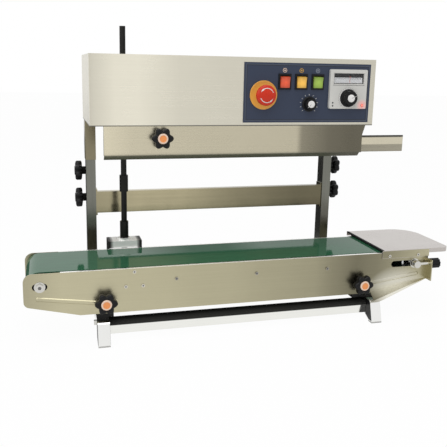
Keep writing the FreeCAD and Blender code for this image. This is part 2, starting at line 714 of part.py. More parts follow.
def side_plate_form():
    """The front plate: a tapered sheet with a folded top hem, ribs, slots and an end lip."""
    corners = [
        (0, PLATE_TOP, PLATE_TOP_CORNER), (PLATE_LENGTH, PLATE_TOP),
        (PLATE_LENGTH, PLATE_END_BOTTOM), (PLATE_LENGTH - PLATE_TAPER_RIGHT, PLATE_BOTTOM),
        (PLATE_TAPER_LEFT, PLATE_BOTTOM), (0, PLATE_END_BOTTOM, PLATE_LOW_CORNER),
    ]
    plate = prism_xz(corners, 0, PLATE_THICKNESS)
    hem = block(HEM_START, HEM_END, 0, HEM_WIDTH, PLATE_TOP - PLATE_THICKNESS, PLATE_TOP)
    lip = block(PLATE_LENGTH - PLATE_THICKNESS, PLATE_LENGTH, -LIP_WIDTH, PLATE_THICKNESS,
                PLATE_END_BOTTOM, PLATE_TOP - LIP_TOP_DROP)
    pieces = [hem, lip]
    rib_depth = RIB_RADIUS - RIB_HEIGHT
    rib_z = PLATE_TOP - RIB_DROP
    for x, direction in ((RIB_INSET, 1), (PLATE_LENGTH - RIB_INSET, -1)):
        path = Vector(direction * RIB_LENGTH, 0, -RIB_RISE)
        start = Vector(x, rib_depth, rib_z)
        pieces.append(Part.makeCylinder(RIB_RADIUS, path.Length, start, path))
        pieces.append(Part.makeSphere(RIB_RADIUS, start))
        pieces.append(Part.makeSphere(RIB_RADIUS, start + path))
    form = fuse(plate, *pieces)
    inside = block(0, PLATE_LENGTH, PLATE_THICKNESS, 4 * RIB_RADIUS, 0, PLATE_TOP - PLATE_THICKNESS)
    form = form.cut(inside)
    tail_slot = slot_y(TAIL_X - TAIL_SLOT / 2, TAIL_X + TAIL_SLOT / 2, ROLLER_Z, SLOT_HEIGHT,
                       0, PLATE_THICKNESS)
    slot_end = IDLER_X + SLOT_HEIGHT / 2
    idler_slot = slot_y(slot_end - IDLER_SLOT, slot_end, ROLLER_Z, SLOT_HEIGHT, 0, PLATE_THICKNESS)
    screw_hole = rod((PLATE_LENGTH - PLATE_THICKNESS, -TENSION_OFFSET, ROLLER_Z), X_AXIS,
                     TENSION_HOLE_RADIUS, PLATE_THICKNESS)
    cutters = [tail_slot, idler_slot, screw_hole]
    for knob_x, leg_x in conveyor_knob_places():
        cutters.append(rod((knob_x, 0, CONVEYOR_KNOB_Z), Y_AXIS, STUD_HOLE_RADIUS, PLATE_THICKNESS))
    return form.cut(Part.makeCompound(cutters))


def to_rear(shape):
    """The mirror image of a front piece, at the conveyor's rear."""
    return shape.mirror(Vector(0, CONVEYOR_WIDTH / 2, 0), Y_AXIS)


def seat_wing():
    """A triangular wing folded out of the front plate's tapered edge, over the right leg."""
    inner_x = PLATE_LENGTH - PLATE_TAPER_RIGHT
    tip_z = LEG_TOP + WING_LIFT
    tip_left = LEG_RIGHT_X - WING_TIP_WIDTH / 2
    points = [
        Vector(inner_x, 0, PLATE_BOTTOM), Vector(tip_left, -WING_REACH, tip_z),
        Vector(tip_left + WING_TIP_WIDTH, -WING_REACH, tip_z), Vector(PLATE_LENGTH, 0, PLATE_END_BOTTOM),
    ]
    faces = []
    lifted = [point + Vector(0, 0, PLATE_THICKNESS) for point in points]
    rings = []
    for corners in (points, lifted):
        rings.append((corners[0], corners[1], corners[3]))
        rings.append((corners[1], corners[2], corners[3]))
    for index in range(4):
        follow = (index + 1) % 4
        rings.append((points[index], lifted[index], lifted[follow], points[follow]))
    for ring in rings:
        faces.append(Part.Face(Part.makePolygon(list(ring) + [ring[0]])))
    return Part.Solid(Part.Shell(faces))


def bearing_screw_places():
    """X and Z of the three screws round the drive roller's bearing."""
    places = []
    for index in range(3):
        angle = math.radians(90 + 120 * index)
        places.append((DRIVE_X + BEARING_SCREW_CIRCLE * math.cos(angle),
                       ROLLER_Z + BEARING_SCREW_CIRCLE * math.sin(angle)))
    return places


def spreader_z():
    """Height of the spreader tubes, between the two runs of the belt."""
    return ROLLER_Z


def front_side_screws():
    """Screws in the front plate: three at the bearing, and one at each spreader."""
    depth = PLATE_THICKNESS + BEARING_WIDTH / 2
    places = bearing_screw_places()
    places += [(x, spreader_z()) for x in SPREADERS]
    return [pan_screw((x, 0, z), Y_AXIS * -1, depth) for x, z in places]


def table_screws():
    """Screws through the table's front and rear flanges into the side plates."""
    solids = []
    left = TABLE_START + TABLE_SCREW_INSET
    right = TABLE_START + TABLE_FLANGE_LENGTH - TABLE_SCREW_INSET
    z = TABLE_Z - TABLE_FLANGE * 0.65
    for x in (left, right):
        screw = pan_screw((x, -TABLE_THICKNESS, z), Y_AXIS * -1, PLATE_THICKNESS + TABLE_THICKNESS)
        solids += [screw, to_rear(screw)]
    return solids


def conveyor_screws():
    """All small screws of the conveyor."""
    front = front_side_screws()
    return front + [to_rear(screw) for screw in front] + table_screws()


def bridge_foot_bolts():
    """Bolts that hold the gear bracket's feet to the rear plate."""
    solids = []
    reach = BRIDGE_WIDTH / 2 + BRIDGE_FOOT / 2
    z = BELT_TOP - BRIDGE_DROP + BRIDGE_FOOT
    for x in (DRIVE_X - reach, DRIVE_X + reach):
        seat = (x, CONVEYOR_WIDTH + BRIDGE_WALL, z)
        solids.append(hex_bolt(seat, Y_AXIS, BRIDGE_WALL + PLATE_THICKNESS))
    return solids


def clamp_bolts():
    """Bolts in the rear plate, through the slots of the clamp brackets' rear tabs."""
    solids = []
    for knob_x, leg_x in conveyor_knob_places():
        seat = (knob_x, CONVEYOR_WIDTH, CONVEYOR_KNOB_Z)
        bolt = hex_bolt(seat, Y_AXIS, PLATE_THICKNESS + SLIDING_CLEARANCE + BRACKET_THICKNESS)
        washer = rod(seat, Y_AXIS, WASHER_RADIUS, WASHER_THICKNESS)
        solids.append(fuse(bolt, washer))
    return solids


def conveyor_bolts():
    """Hexagon bolts at the conveyor's rear."""
    return bridge_foot_bolts() + clamp_bolts()


def front_side_plate():
    """The plate nearest the user, with the seat wing."""
    plate = fuse(side_plate_form(), seat_wing())
    return drilled(plate, front_side_screws() + table_screws()[0::2])


def rear_side_plate():
    """The rear plate, with a hole for the drive roller's shaft."""
    plate = to_rear(side_plate_form())
    plate = plate.cut(rod((DRIVE_X, 0, ROLLER_Z), Y_AXIS, AXLE_RADIUS + 1, CONVEYOR_WIDTH))
    screws = [to_rear(screw) for screw in front_side_screws()]
    return drilled(plate, screws + table_screws()[1::2] + bridge_foot_bolts())


def slider_bed():
    """The sheet under the belt's upper run, in two lengths beside the drive roller."""
    front = PLATE_THICKNESS + BED_EDGE
    rear = CONVEYOR_WIDTH - front
    top = BELT_TOP - BELT_THICKNESS
    low = top - BED_DEPTH
    solids = []
    for start, end in ((BED_START, DRIVE_X - BED_DRIVE_GAP), (DRIVE_X + BED_DRIVE_GAP, BED_END)):
        pieces = [block(start, end, front, rear, top - BED_THICKNESS, top)]
        pieces.append(block(start, end, front, front + BED_THICKNESS, low, top))
        pieces.append(block(start, end, rear - BED_THICKNESS, rear, low, top))
        pieces.append(block(start, end, PLATE_THICKNESS, front + BED_THICKNESS, low, low + BED_THICKNESS))
        pieces.append(block(start, end, rear - BED_THICKNESS, CONVEYOR_WIDTH - PLATE_THICKNESS,
                            low, low + BED_THICKNESS))
        solids.append(fuse(*pieces))
    return solids


def spreader_tubes():
    """Bars that hold the side plates apart."""
    solids = []
    length = CONVEYOR_WIDTH - 2 * PLATE_THICKNESS
    screws = conveyor_screws()
    for x in SPREADERS:
        bar = rod((x, PLATE_THICKNESS, spreader_z()), Y_AXIS, SPREADER_RADIUS, length)
        solids.append(drilled(bar, screws))
    return solids


def belt_loop(radius, inset):
    """A solid with the outline of the belt's loop."""
    middle = block(TAIL_X, IDLER_X, BELT_FRONT - inset, BELT_REAR + inset,
                   ROLLER_Z - radius, ROLLER_Z + radius)
    width = BELT_REAR - BELT_FRONT + 2 * inset
    tail = rod((TAIL_X, BELT_FRONT - inset, ROLLER_Z), Y_AXIS, radius, width)
    idler = rod((IDLER_X, BELT_FRONT - inset, ROLLER_Z), Y_AXIS, radius, width)
    return fuse(middle, tail, idler)


def conveyor_belt():
    """The endless belt round the tail and idler rollers."""
    return belt_loop(ROLLER_RADIUS + BELT_THICKNESS, 0).cut(belt_loop(ROLLER_RADIUS, 1))


def hollow_roller(x, front, length):
    """A roller body with a ring-shaped pocket in each end."""
    radius = ROLLER_RADIUS - CLEARANCE
    depth = (length - ROLLER_WEB) / 2
    body = rod((x, front, ROLLER_Z), Y_AXIS, radius, length)
    for y in (front, front + length - depth):
        pocket = rod((x, y, ROLLER_Z), Y_AXIS, radius - ROLLER_WALL, depth)
        hub = rod((x, y, ROLLER_Z), Y_AXIS, ROLLER_HUB_RADIUS, depth)
        body = body.cut(pocket.cut(hub))
    return body


def belt_roller(x):
    """A roller on a fixed axle, hollowed from both ends."""
    front = BELT_FRONT + ROLLER_END_GAP
    length = BELT_REAR - BELT_FRONT - 2 * ROLLER_END_GAP
    body = hollow_roller(x, front, length)
    bore = rod((x, front, ROLLER_Z), Y_AXIS, AXLE_RADIUS + RUNNING_CLEARANCE, length)
    return body.cut(bore)


def tail_axle():
    """The tail roller's fixed axle, with a washer and a hexagon head outside each plate."""
    bar = rod((TAIL_X, 0, ROLLER_Z), Y_AXIS, AXLE_RADIUS, CONVEYOR_WIDTH)
    ends = []
    for y, axis in ((0, Y_AXIS * -1), (CONVEYOR_WIDTH, Y_AXIS)):
        seat = (TAIL_X, y, ROLLER_Z)
        ends.append(rod(seat, axis, WASHER_RADIUS, WASHER_THICKNESS))
        ends.append(hexagon(AXLE_HEAD_RADIUS, seat, axis, WASHER_THICKNESS + AXLE_HEAD_HEIGHT))
    return fuse(bar, *ends)


def drive_bearings():
    """Flanged bearings inside the plates, for the drive roller's shaft."""
    screws = front_side_screws()
    ring = rod((DRIVE_X, PLATE_THICKNESS, ROLLER_Z), Y_AXIS, BEARING_FLANGE_RADIUS, BEARING_WIDTH)
    bore = rod((DRIVE_X, PLATE_THICKNESS, ROLLER_Z), Y_AXIS, AXLE_RADIUS + RUNNING_CLEARANCE,
               BEARING_WIDTH)
    ring = drilled(ring.cut(bore), screws)
    return [ring, to_rear(ring)]


def drive_roller():
    """The rubber-faced roller between the belt's runs, on its own shaft out to the bevel gear."""
    front = PLATE_THICKNESS + BEARING_WIDTH + ROLLER_END_GAP
    length = CONVEYOR_WIDTH - 2 * front
    body = hollow_roller(DRIVE_X, front, length)
    start = PLATE_THICKNESS + CLEARANCE
    end = SHAFT_Y + BEVEL_RADIUS + BEVEL_HUB
    shaft = rod((DRIVE_X, start, ROLLER_Z), Y_AXIS, AXLE_RADIUS, end - start)
    return fuse(body, shaft)


def bevel_gear():
    """The mitre gear on the drive roller's shaft, behind the upright shaft."""
    gear = bevel_gear_form(False)
    turn = FreeCAD.Rotation(X_AXIS, 90)
    gear.Placement = FreeCAD.Placement(Vector(DRIVE_X, SHAFT_Y + BEVEL_RADIUS, ROLLER_Z), turn)
    return gear


def bevel_pinion():
    """The mitre gear at the foot of the upright shaft."""
    gear = bevel_gear_form(True)
    turn = FreeCAD.Rotation(X_AXIS, 180)
    base = gear.Placement.Rotation
    gear.Placement = FreeCAD.Placement(Vector(DRIVE_X, SHAFT_Y, ROLLER_Z + BEVEL_RADIUS),
                                       turn.multiply(base))
    return gear


def shaft_flats_radius():
    """Corner radius of the six-sided part of the upright shaft."""
    return SHAFT_FLATS / 2 / math.cos(math.radians(30))


def drive_shaft():
    """The upright shaft: round at its foot, six-sided where it slides through the head."""
    foot = ROLLER_Z + BEVEL_RADIUS - BEVEL_FACE
    low = rod((DRIVE_X, SHAFT_Y, foot), Z_AXIS, AXLE_RADIUS, PINION_TOP - foot)
    middle = rod((DRIVE_X, SHAFT_Y, PINION_TOP), Z_AXIS, SHAFT_RADIUS, LOWER_SLEEVE_TOP - PINION_TOP)
    upper = hexagon(shaft_flats_radius(), (DRIVE_X, SHAFT_Y, LOWER_SLEEVE_TOP), Z_AXIS,
                    SHAFT_TOP - LOWER_SLEEVE_TOP)
    return fuse(low, middle, upper)


def shaft_sleeves():
    """Two coupling sleeves on the upright shaft."""
    solids = []
    for z, bore in ((LOWER_SLEEVE_Z, SHAFT_RADIUS), (UPPER_SLEEVE_Z, shaft_flats_radius())):
        sleeve = rod((DRIVE_X, SHAFT_Y, z), Z_AXIS, SLEEVE_RADIUS, SLEEVE_LENGTH)
        hole = rod((DRIVE_X, SHAFT_Y, z), Z_AXIS, bore + RUNNING_CLEARANCE, SLEEVE_LENGTH)
        solids.append(sleeve.cut(hole))
    return solids


def gear_bracket():
    """The bridge over the bevel gears, with the upright shaft's foot bearing."""
    half = BRIDGE_WIDTH / 2
    left = DRIVE_X - half
    right = DRIVE_X + half
    rear = CONVEYOR_WIDTH + BRIDGE_DEPTH
    low = BELT_TOP - BRIDGE_DROP
    pieces = [block(left, right, CONVEYOR_WIDTH, rear, BRIDGE_TOP - BRIDGE_WALL, BRIDGE_TOP)]
    for x in (left, right - BRIDGE_WALL):
        pieces.append(block(x, x + BRIDGE_WALL, CONVEYOR_WIDTH, rear, low, BRIDGE_TOP))
    pieces.append(block(left, right, CONVEYOR_WIDTH, CONVEYOR_WIDTH + BRIDGE_WALL, BELT_TOP, BRIDGE_TOP))
    for x in (left - BRIDGE_FOOT, right):
        pieces.append(block(x, x + BRIDGE_FOOT, CONVEYOR_WIDTH, CONVEYOR_WIDTH + BRIDGE_WALL,
                            low, BELT_TOP - BRIDGE_FOOT))
    hub_z = BRIDGE_TOP - BRIDGE_WALL
    pieces.append(rod((DRIVE_X, SHAFT_Y, hub_z), Z_AXIS, BRIDGE_HUB_RADIUS,
                      BRIDGE_WALL + BRIDGE_HUB_HEIGHT))
    bore = rod((DRIVE_X, SHAFT_Y, hub_z), Z_AXIS, SHAFT_RADIUS + RUNNING_CLEARANCE,
               BRIDGE_WALL + BRIDGE_HUB_HEIGHT)
    return drilled(fuse(*pieces).cut(bore), bridge_foot_bolts())


def tension_axle():
    """The idler's axle with an eye block and a tension screw at each end."""
    front = -TENSION_OFFSET - TENSION_EYE_WIDTH / 2
    bar = rod((IDLER_X, front, ROLLER_Z), Y_AXIS, AXLE_RADIUS, CONVEYOR_WIDTH - 2 * front)
    pieces = []
    washer_y = -CLEARANCE
    eye = rod((IDLER_X, front, ROLLER_Z), Y_AXIS, TENSION_EYE_RADIUS, TENSION_EYE_WIDTH)
    washer = rod((IDLER_X, washer_y, ROLLER_Z), Y_AXIS * -1, WASHER_RADIUS, WASHER_THICKNESS)
    screw_end = PLATE_LENGTH + TENSION_KNOB_LENGTH * 0.8
    screw = rod((IDLER_X, -TENSION_OFFSET, ROLLER_Z), X_AXIS, TENSION_SCREW_RADIUS, screw_end - IDLER_X)
    for piece in (eye, washer, screw):
        pieces += [piece, to_rear(piece)]
    return fuse(bar, *pieces)


def tension_knob():
    """The front tension nut, a grooved knob outside the end lip."""
    start = PLATE_LENGTH + CLEARANCE
    knob = rod((start, -TENSION_OFFSET, ROLLER_Z), X_AXIS, TENSION_KNOB_RADIUS, TENSION_KNOB_LENGTH)
    grooves = []
    for index in range(TENSION_KNOB_GRIPS):
        angle = 2 * math.pi * index / TENSION_KNOB_GRIPS
        centre = (start, -TENSION_OFFSET + TENSION_KNOB_RADIUS * math.cos(angle),
                  ROLLER_Z + TENSION_KNOB_RADIUS * math.sin(angle))
        grooves.append(rod(centre, X_AXIS, TENSION_GRIP_RADIUS, TENSION_KNOB_LENGTH))
    bore = rod((start, -TENSION_OFFSET, ROLLER_Z), X_AXIS, TENSION_SCREW_RADIUS + RUNNING_CLEARANCE,
               TENSION_KNOB_LENGTH * 0.85)
    return knob.cut(Part.makeCompound(grooves)).cut(bore)


def work_table():
    """The table over the conveyor's right end: a rounded sheet with a turned-down rim and flanges."""
    rear = TABLE_FRONT + TABLE_DEPTH
    top = TABLE_Z + TABLE_THICKNESS

    def sheet(inset, z0, z1):
        corners = [
            (TABLE_START, TABLE_FRONT + inset),
            (TABLE_END - inset, TABLE_FRONT + inset, TABLE_FRONT_CORNER - inset),
            (TABLE_END - inset, rear - inset, TABLE_BACK_CORNER - inset),
            (TABLE_START, rear - inset),
        ]
        return prism_xy(corners, z0, z1)

    top_sheet = sheet(0, TABLE_Z, top)
    rim = sheet(0, top - TABLE_RIM, top).cut(sheet(TABLE_THICKNESS, top - TABLE_RIM, top))
    over_conveyor = block(TABLE_START, PLATE_LENGTH + CLEARANCE, TABLE_FRONT, CONVEYOR_WIDTH,
                          top - TABLE_RIM, TABLE_Z)
    rim = rim.cut(over_conveyor)
    flange_end = TABLE_START + TABLE_FLANGE_LENGTH
    flange = block(TABLE_START, flange_end, -TABLE_THICKNESS, 0, TABLE_Z - TABLE_FLANGE, top)
    table = fuse(top_sheet, rim, flange, to_rear(flange))
    return drilled(table, table_screws())


def head_inside_left():
    """Inner face of the head's left wall."""
    return HEAD_LEFT + HEAD_WALL


def head_inside_right():
    """Inner face of the head's right wall."""
    return HEAD_RIGHT - HEAD_WALL


def head_housing():
    """The folded cover: front, top and both ends, open below and behind."""
    outer = block(HEAD_LEFT, HEAD_RIGHT, HEAD_FRONT, HEAD_REAR - HEAD_WALL, HEAD_BOTTOM, HEAD_TOP)
    inner = block(head_inside_left(), head_inside_right(), HEAD_FRONT + HEAD_WALL, HEAD_REAR,
                  HEAD_BOTTOM, HEAD_TOP - HEAD_WALL)
    hole = rod((DRIVE_X, SHAFT_Y, HEAD_BOTTOM), Z_AXIS, TOP_HOLE_RADIUS, HEAD_HEIGHT)
    window = block(PANEL_LEFT + PANEL_MARGIN, PANEL_RIGHT - PANEL_MARGIN, HEAD_FRONT,
                   HEAD_FRONT + HEAD_WALL, PANEL_BOTTOM + PANEL_MARGIN, PANEL_TOP - PANEL_MARGIN)
    return outer.cut(inner).cut(hole).cut(window)


def inlet_shell():
    """Outer block of the power inlet."""
    middle_z = HEAD_BOTTOM + INLET_RISE
    return block(INLET_X - INLET_WIDTH / 2, INLET_X + INLET_WIDTH / 2,
                 HEAD_REAR + INLET_PROUD - INLET_DEPTH, HEAD_REAR + INLET_PROUD,
                 middle_z - INLET_HEIGHT / 2, middle_z + INLET_HEIGHT / 2)


def power_inlet():
    """The appliance inlet in the rear cover, with its recess and three contact blades."""
    shell = inlet_shell()
    box = shell.BoundBox
    wall = 3.0
    recess_depth = INLET_DEPTH * 0.7
    recess = block(box.XMin + wall, box.XMax - wall, box.YMax - recess_depth, box.YMax,
                   box.ZMin + wall, box.ZMax - wall)
    blades = []
    middle_z = (box.ZMin + box.ZMax) / 2
    for dx, dz in ((-6.0, -2.0), (0.0, 2.0), (6.0, -2.0)):
        x = INLET_X + dx
        blades.append(block(x - 1, x + 1, box.YMax - recess_depth, box.YMax - recess_depth / 3,
                            middle_z + dz - 2.5, middle_z + dz + 2.5))
    return fuse(shell.cut(recess), *blades)


def head_screws():
    """Screws round the edge of the rear cover."""
    solids = []
    margin = 9.0
    left = head_inside_left() + margin
    right = head_inside_right() - margin
    low = HEAD_BOTTOM + margin
    high = HEAD_TOP - margin
    for index in range(4):
        x = left + (right - left) * index / 3
        for z in (low, high):
            solids.append(pan_screw((x, HEAD_REAR, z), Y_AXIS, 2 * HEAD_WALL))
    return solids


def head_rear_cover():
    """The rear panel with louvre slots, a bottom flange and the inlet's cut-out."""
    panel = block(HEAD_LEFT, HEAD_RIGHT, HEAD_REAR - HEAD_WALL, HEAD_REAR, HEAD_BOTTOM, HEAD_TOP)
    clear = 2 * SLEEVE_X + HEAD_WALL + CLEARANCE
    flange = block(HEAD_LEFT + clear, HEAD_RIGHT - clear, POST_Y - SLEEVE_Y, HEAD_REAR,
                   HEAD_BOTTOM, HEAD_BOTTOM + HEAD_WALL)
    cover = fuse(panel, flange)
    middle_x = (HEAD_LEFT + HEAD_RIGHT) / 2
    middle_z = (HEAD_BOTTOM + HEAD_TOP) / 2
    slots = []
    for index in range(LOUVRE_COUNT):
        x = middle_x + (index - (LOUVRE_COUNT - 1) / 2) * LOUVRE_PITCH
        slots.append(block(x - LOUVRE_WIDTH / 2, x + LOUVRE_WIDTH / 2, HEAD_REAR - HEAD_WALL, HEAD_REAR,
                           middle_z - LOUVRE_HEIGHT / 2, middle_z + LOUVRE_HEIGHT / 2))
    cover = cover.cut(Part.makeCompound(slots)).cut(inlet_shell())
    return drilled(cover, head_screws())


def head_slides():
    """The head's two uprights: a sleeve that seats on the post, and a bar that slides in it."""
    solids = []
    gap = POST_WALL + SLIDING_CLEARANCE
    for x in (LEG_LEFT_X, LEG_RIGHT_X):
        sleeve = block(x - SLEEVE_X, x + SLEEVE_X, POST_Y - SLEEVE_Y, POST_Y + SLEEVE_Y,
                       SLIDE_BOTTOM, HEAD_TOP - HEAD_WALL)
        hollow_x = SLEEVE_X - SLEEVE_TUBE_WALL
        hollow_y = SLEEVE_Y - SLEEVE_TUBE_WALL
        sleeve = sleeve.cut(block(x - hollow_x, x + hollow_x, POST_Y - hollow_y, POST_Y + hollow_y,
                                  SLIDE_BOTTOM + SLEEVE_PLUG, HEAD_TOP))
        half_x = POST_WIDTH / 2 - gap
        half_y = POST_DEPTH / 2 - gap
        bar = block(x - half_x, x + half_x, POST_Y - half_y, POST_Y + half_y,
                    SLIDE_BAR_BOTTOM, SLIDE_BOTTOM)
        solids.append(fuse(sleeve, bar))
    return solids


def wheel_places():
    """Centre of each band wheel's shaft."""
    return {
        "front_drive": (DRIVE_WHEEL_X, FRONT_WHEEL_Y),
        "rear_drive": (DRIVE_WHEEL_X, REAR_WHEEL_Y),
        "front_idler": (IDLER_WHEEL_X, FRONT_WHEEL_Y),
        "rear_idler": (IDLER_WHEEL_X, REAR_WHEEL_Y),
    }


def head_floor():
    """The floor plate that carries the band wheels in bosses, and the strap for the guard's stud."""
    rear = POST_Y - SLEEVE_Y - CLEARANCE
    plate = block(head_inside_left(), head_inside_right(), HEAD_FRONT + HEAD_WALL, rear,
                  FLOOR_Z, FLOOR_TOP)
    pieces = []
    bores = []
    for x, y in wheel_places().values():
        pieces.append(rod((x, y, FLOOR_Z - BOSS_LENGTH), Z_AXIS, BOSS_RADIUS, BOSS_LENGTH))
        bores.append(rod((x, y, FLOOR_Z - BOSS_LENGTH), Z_AXIS, WHEEL_SHAFT_RADIUS + RUNNING_CLEARANCE,
                         BOSS_LENGTH + FLOOR_THICKNESS))
    bores.append(rod((DRIVE_X, SHAFT_Y, FLOOR_Z), Z_AXIS, GEAR_HUB_RADIUS + RUNNING_CLEARANCE,
                     FLOOR_THICKNESS))
    strap_front = GUARD_FRONT + GUARD_WALL + GUARD_STRAP_GAP
    pieces.append(block(GUARD_KNOB_X - GUARD_STRAP_WIDTH / 2, GUARD_KNOB_X + GUARD_STRAP_WIDTH / 2,
                        strap_front, strap_front + GUARD_STRAP_DEPTH,
                        GUARD_KNOB_Z - GUARD_STRAP_FOOT, FLOOR_Z))
    bores.append(rod((GUARD_KNOB_X, GUARD_FRONT, GUARD_KNOB_Z), Y_AXIS, STUD_HOLE_RADIUS,
                     2 * GUARD_STRAP_GAP + GUARD_STRAP_DEPTH))
    return fuse(plate, *pieces).cut(Part.makeCompound(bores))


def band_wheel_form(name):
    """A band wheel on its shaft. A driving wheel's shaft goes up to a gear above the floor plate."""
    x, y = wheel_places()[name]
    low = BAND_Z - BAND_WIDTH / 2
    rim = rod((x, y, low), Z_AXIS, BAND_INNER - BAND_GAP, BAND_WIDTH)
    driving = name.endswith("drive")
    top = GEAR_Z + GEAR_WIDTH if driving else GEAR_Z
    if name == "rear_drive":
        top = FLOOR_TOP + GEARBOX_LIFT + WHEEL_SHAFT_RADIUS
    shaft = rod((x, y, low), Z_AXIS, WHEEL_SHAFT_RADIUS, top - low)
    collar = rod((x, y, FLOOR_TOP + RUNNING_CLEARANCE), Z_AXIS, BOSS_RADIUS, GEAR_LIFT)
    pieces = [shaft, collar]
    if driving:
        quarter = 90.0 if name == "front_drive" else 90.0 + 180.0 / WHEEL_TEETH
        pieces.append(spur_gear(WHEEL_TEETH, (x, y), GEAR_Z, quarter))
    return fuse(rim, *pieces)


def shaft_gear():
    """The gear that the upright shaft slides through, with its hub in the floor plate."""
    towards = math.degrees(math.atan2(REAR_WHEEL_Y - SHAFT_Y, DRIVE_WHEEL_X - DRIVE_X))
    wheel_step = 360.0 / WHEEL_TEETH
    wheel_first = 90.0 + wheel_step / 2
    phase = ((towards + 180.0 - wheel_first) / wheel_step) % 1.0
    gear_step = 360.0 / SHAFT_GEAR_TEETH
    gear = spur_gear(SHAFT_GEAR_TEETH, (DRIVE_X, SHAFT_Y), GEAR_Z, towards + gear_step * (phase + 0.5))
    collar = rod((DRIVE_X, SHAFT_Y, FLOOR_TOP + RUNNING_CLEARANCE), Z_AXIS, 1.4 * GEAR_HUB_RADIUS, GEAR_LIFT)
    hub = rod((DRIVE_X, SHAFT_Y, FLOOR_Z), Z_AXIS, GEAR_HUB_RADIUS, FLOOR_THICKNESS + GEAR_LIFT)
    bore = hexagon(shaft_flats_radius() + RUNNING_CLEARANCE, (DRIVE_X, SHAFT_Y, FLOOR_Z), Z_AXIS,
                   GEAR_Z + GEAR_WIDTH - FLOOR_Z)
    return fuse(gear, collar, hub).cut(bore)


def sealing_bands():
    """Two endless bands, each round a driving and an idling wheel."""
    solids = []
    low = BAND_Z - BAND_WIDTH / 2
    for y in (FRONT_WHEEL_Y, REAR_WHEEL_Y):
        loops = []
        for radius, extra in ((BAND_OUTER, 0.0), (BAND_INNER, 1.0)):
            z = low - extra
            height = BAND_WIDTH + 2 * extra
            middle = block(DRIVE_WHEEL_X, IDLER_WHEEL_X, y - radius, y + radius, z, z + height)
            left = rod((DRIVE_WHEEL_X, y, z), Z_AXIS, radius, height)
            right = rod((IDLER_WHEEL_X, y, z), Z_AXIS, radius, height)
            loops.append(fuse(middle, left, right))
        solids.append(loops[0].cut(loops[1]))
    return solids


def sealing_blocks():
    """Heating and cooling blocks behind the bands, each hung from the floor plate by two stems."""
    solids = []
    for x in (HEATING_X, COOLING_X):
        for y, side in ((FRONT_WHEEL_Y, 1), (REAR_WHEEL_Y, -1)):
            face = y + side * (BAND_INNER - CLEARANCE)
            back = face - side * BLOCK_THICKNESS
            bar = block(x - BLOCK_LENGTH / 2, x + BLOCK_LENGTH / 2, min(face, back), max(face, back),
                        BAND_Z - BLOCK_HEIGHT / 2, BAND_Z + BLOCK_HEIGHT / 2)
            stems = []
            for dx in (-BLOCK_LENGTH / 3, BLOCK_LENGTH / 3):
                stems.append(rod((x + dx, (face + back) / 2, BAND_Z), Z_AXIS, BLOCK_STEM_RADIUS,
                                 FLOOR_Z - BAND_Z))
            solids.append(fuse(bar, *stems))
    return solids


def gear_motor():
    """The gearbox over the rear driving wheel's shaft, on four feet, with its motor to the right."""
    z0 = FLOOR_TOP + GEARBOX_LIFT
    z1 = z0 + GEARBOX_HEIGHT
    x0 = DRIVE_WHEEL_X - WHEEL_PITCH_RADIUS * 0.8
    x1 = x0 + GEARBOX_LENGTH
    y0 = REAR_WHEEL_Y - GEARBOX_DEPTH / 2
    y1 = y0 + GEARBOX_DEPTH
    box = block(x0, x1, y0, y1, z0, z1)
    motor = rod((x1, REAR_WHEEL_Y, (z0 + z1) / 2), X_AXIS, MOTOR_RADIUS, MOTOR_LENGTH)
    pieces = [motor]
    inset = 1.6 * GEARBOX_FOOT_RADIUS
    for x in (x1 - inset, x1 - GEARBOX_LENGTH * 0.4):
        for y in (y0 + inset, y1 - inset):
            pieces.append(rod((x, y, FLOOR_TOP), Z_AXIS, GEARBOX_FOOT_RADIUS, GEARBOX_LIFT))
    bore = rod((DRIVE_WHEEL_X, REAR_WHEEL_Y, z0), Z_AXIS, WHEEL_SHAFT_RADIUS + RUNNING_CLEARANCE,
               2 * WHEEL_SHAFT_RADIUS)
    return fuse(box, *pieces).cut(bore)


def guard_cover():
    """The front guard over the bands: a sheet with cut right corners, turned ends and a folded lip."""
    top = GUARD_TOP
    right = GUARD_RIGHT
    inner_right = right - GUARD_CHAMFER_TOP
    corners = [
        (GUARD_LEFT, top), (right, top), (inner_right, top - GUARD_CHAMFER_HEIGHT),
        (inner_right, GUARD_BOTTOM), (GUARD_LEFT, GUARD_BOTTOM),
    ]
    sheet = prism_xz(corners, GUARD_FRONT, GUARD_FRONT + GUARD_WALL)
    left_end = block(GUARD_LEFT, GUARD_LEFT + GUARD_WALL, GUARD_FRONT, GUARD_FRONT + GUARD_SIDE,
                     GUARD_BOTTOM, top)
    right_end = block(inner_right - GUARD_WALL, inner_right, GUARD_FRONT, GUARD_FRONT + GUARD_SIDE,
                      GUARD_BOTTOM, top - GUARD_CHAMFER_HEIGHT)
    top_flange = block(GUARD_LEFT, inner_right, GUARD_FRONT, GUARD_FRONT + GUARD_SIDE, top - GUARD_WALL, top)
    fold = [
        (GUARD_FRONT, GUARD_BOTTOM), (GUARD_FRONT + GUARD_WALL, GUARD_BOTTOM),
        (GUARD_FRONT + GUARD_WALL + GUARD_LIP, GUARD_BOTTOM - GUARD_LIP),
        (GUARD_FRONT + GUARD_LIP, GUARD_BOTTOM - GUARD_LIP),
    ]
    lip = prism_yz(fold, GUARD_LEFT, inner_right - GUARD_LIP / 2)
    strap_clear = GUARD_STRAP_WIDTH / 2 + CLEARANCE
    strap_front = GUARD_FRONT + GUARD_WALL + GUARD_STRAP_GAP - CLEARANCE
    strap_notch = block(GUARD_KNOB_X - strap_clear, GUARD_KNOB_X + strap_clear, strap_front,
                        GUARD_FRONT + GUARD_SIDE, GUARD_BOTTOM, top)
    stud_hole = rod((GUARD_KNOB_X, GUARD_FRONT, GUARD_KNOB_Z), Y_AXIS, STUD_HOLE_RADIUS, GUARD_WALL)
    return fuse(sheet, left_end, right_end, top_flange, lip).cut(strap_notch).cut(stud_hole)


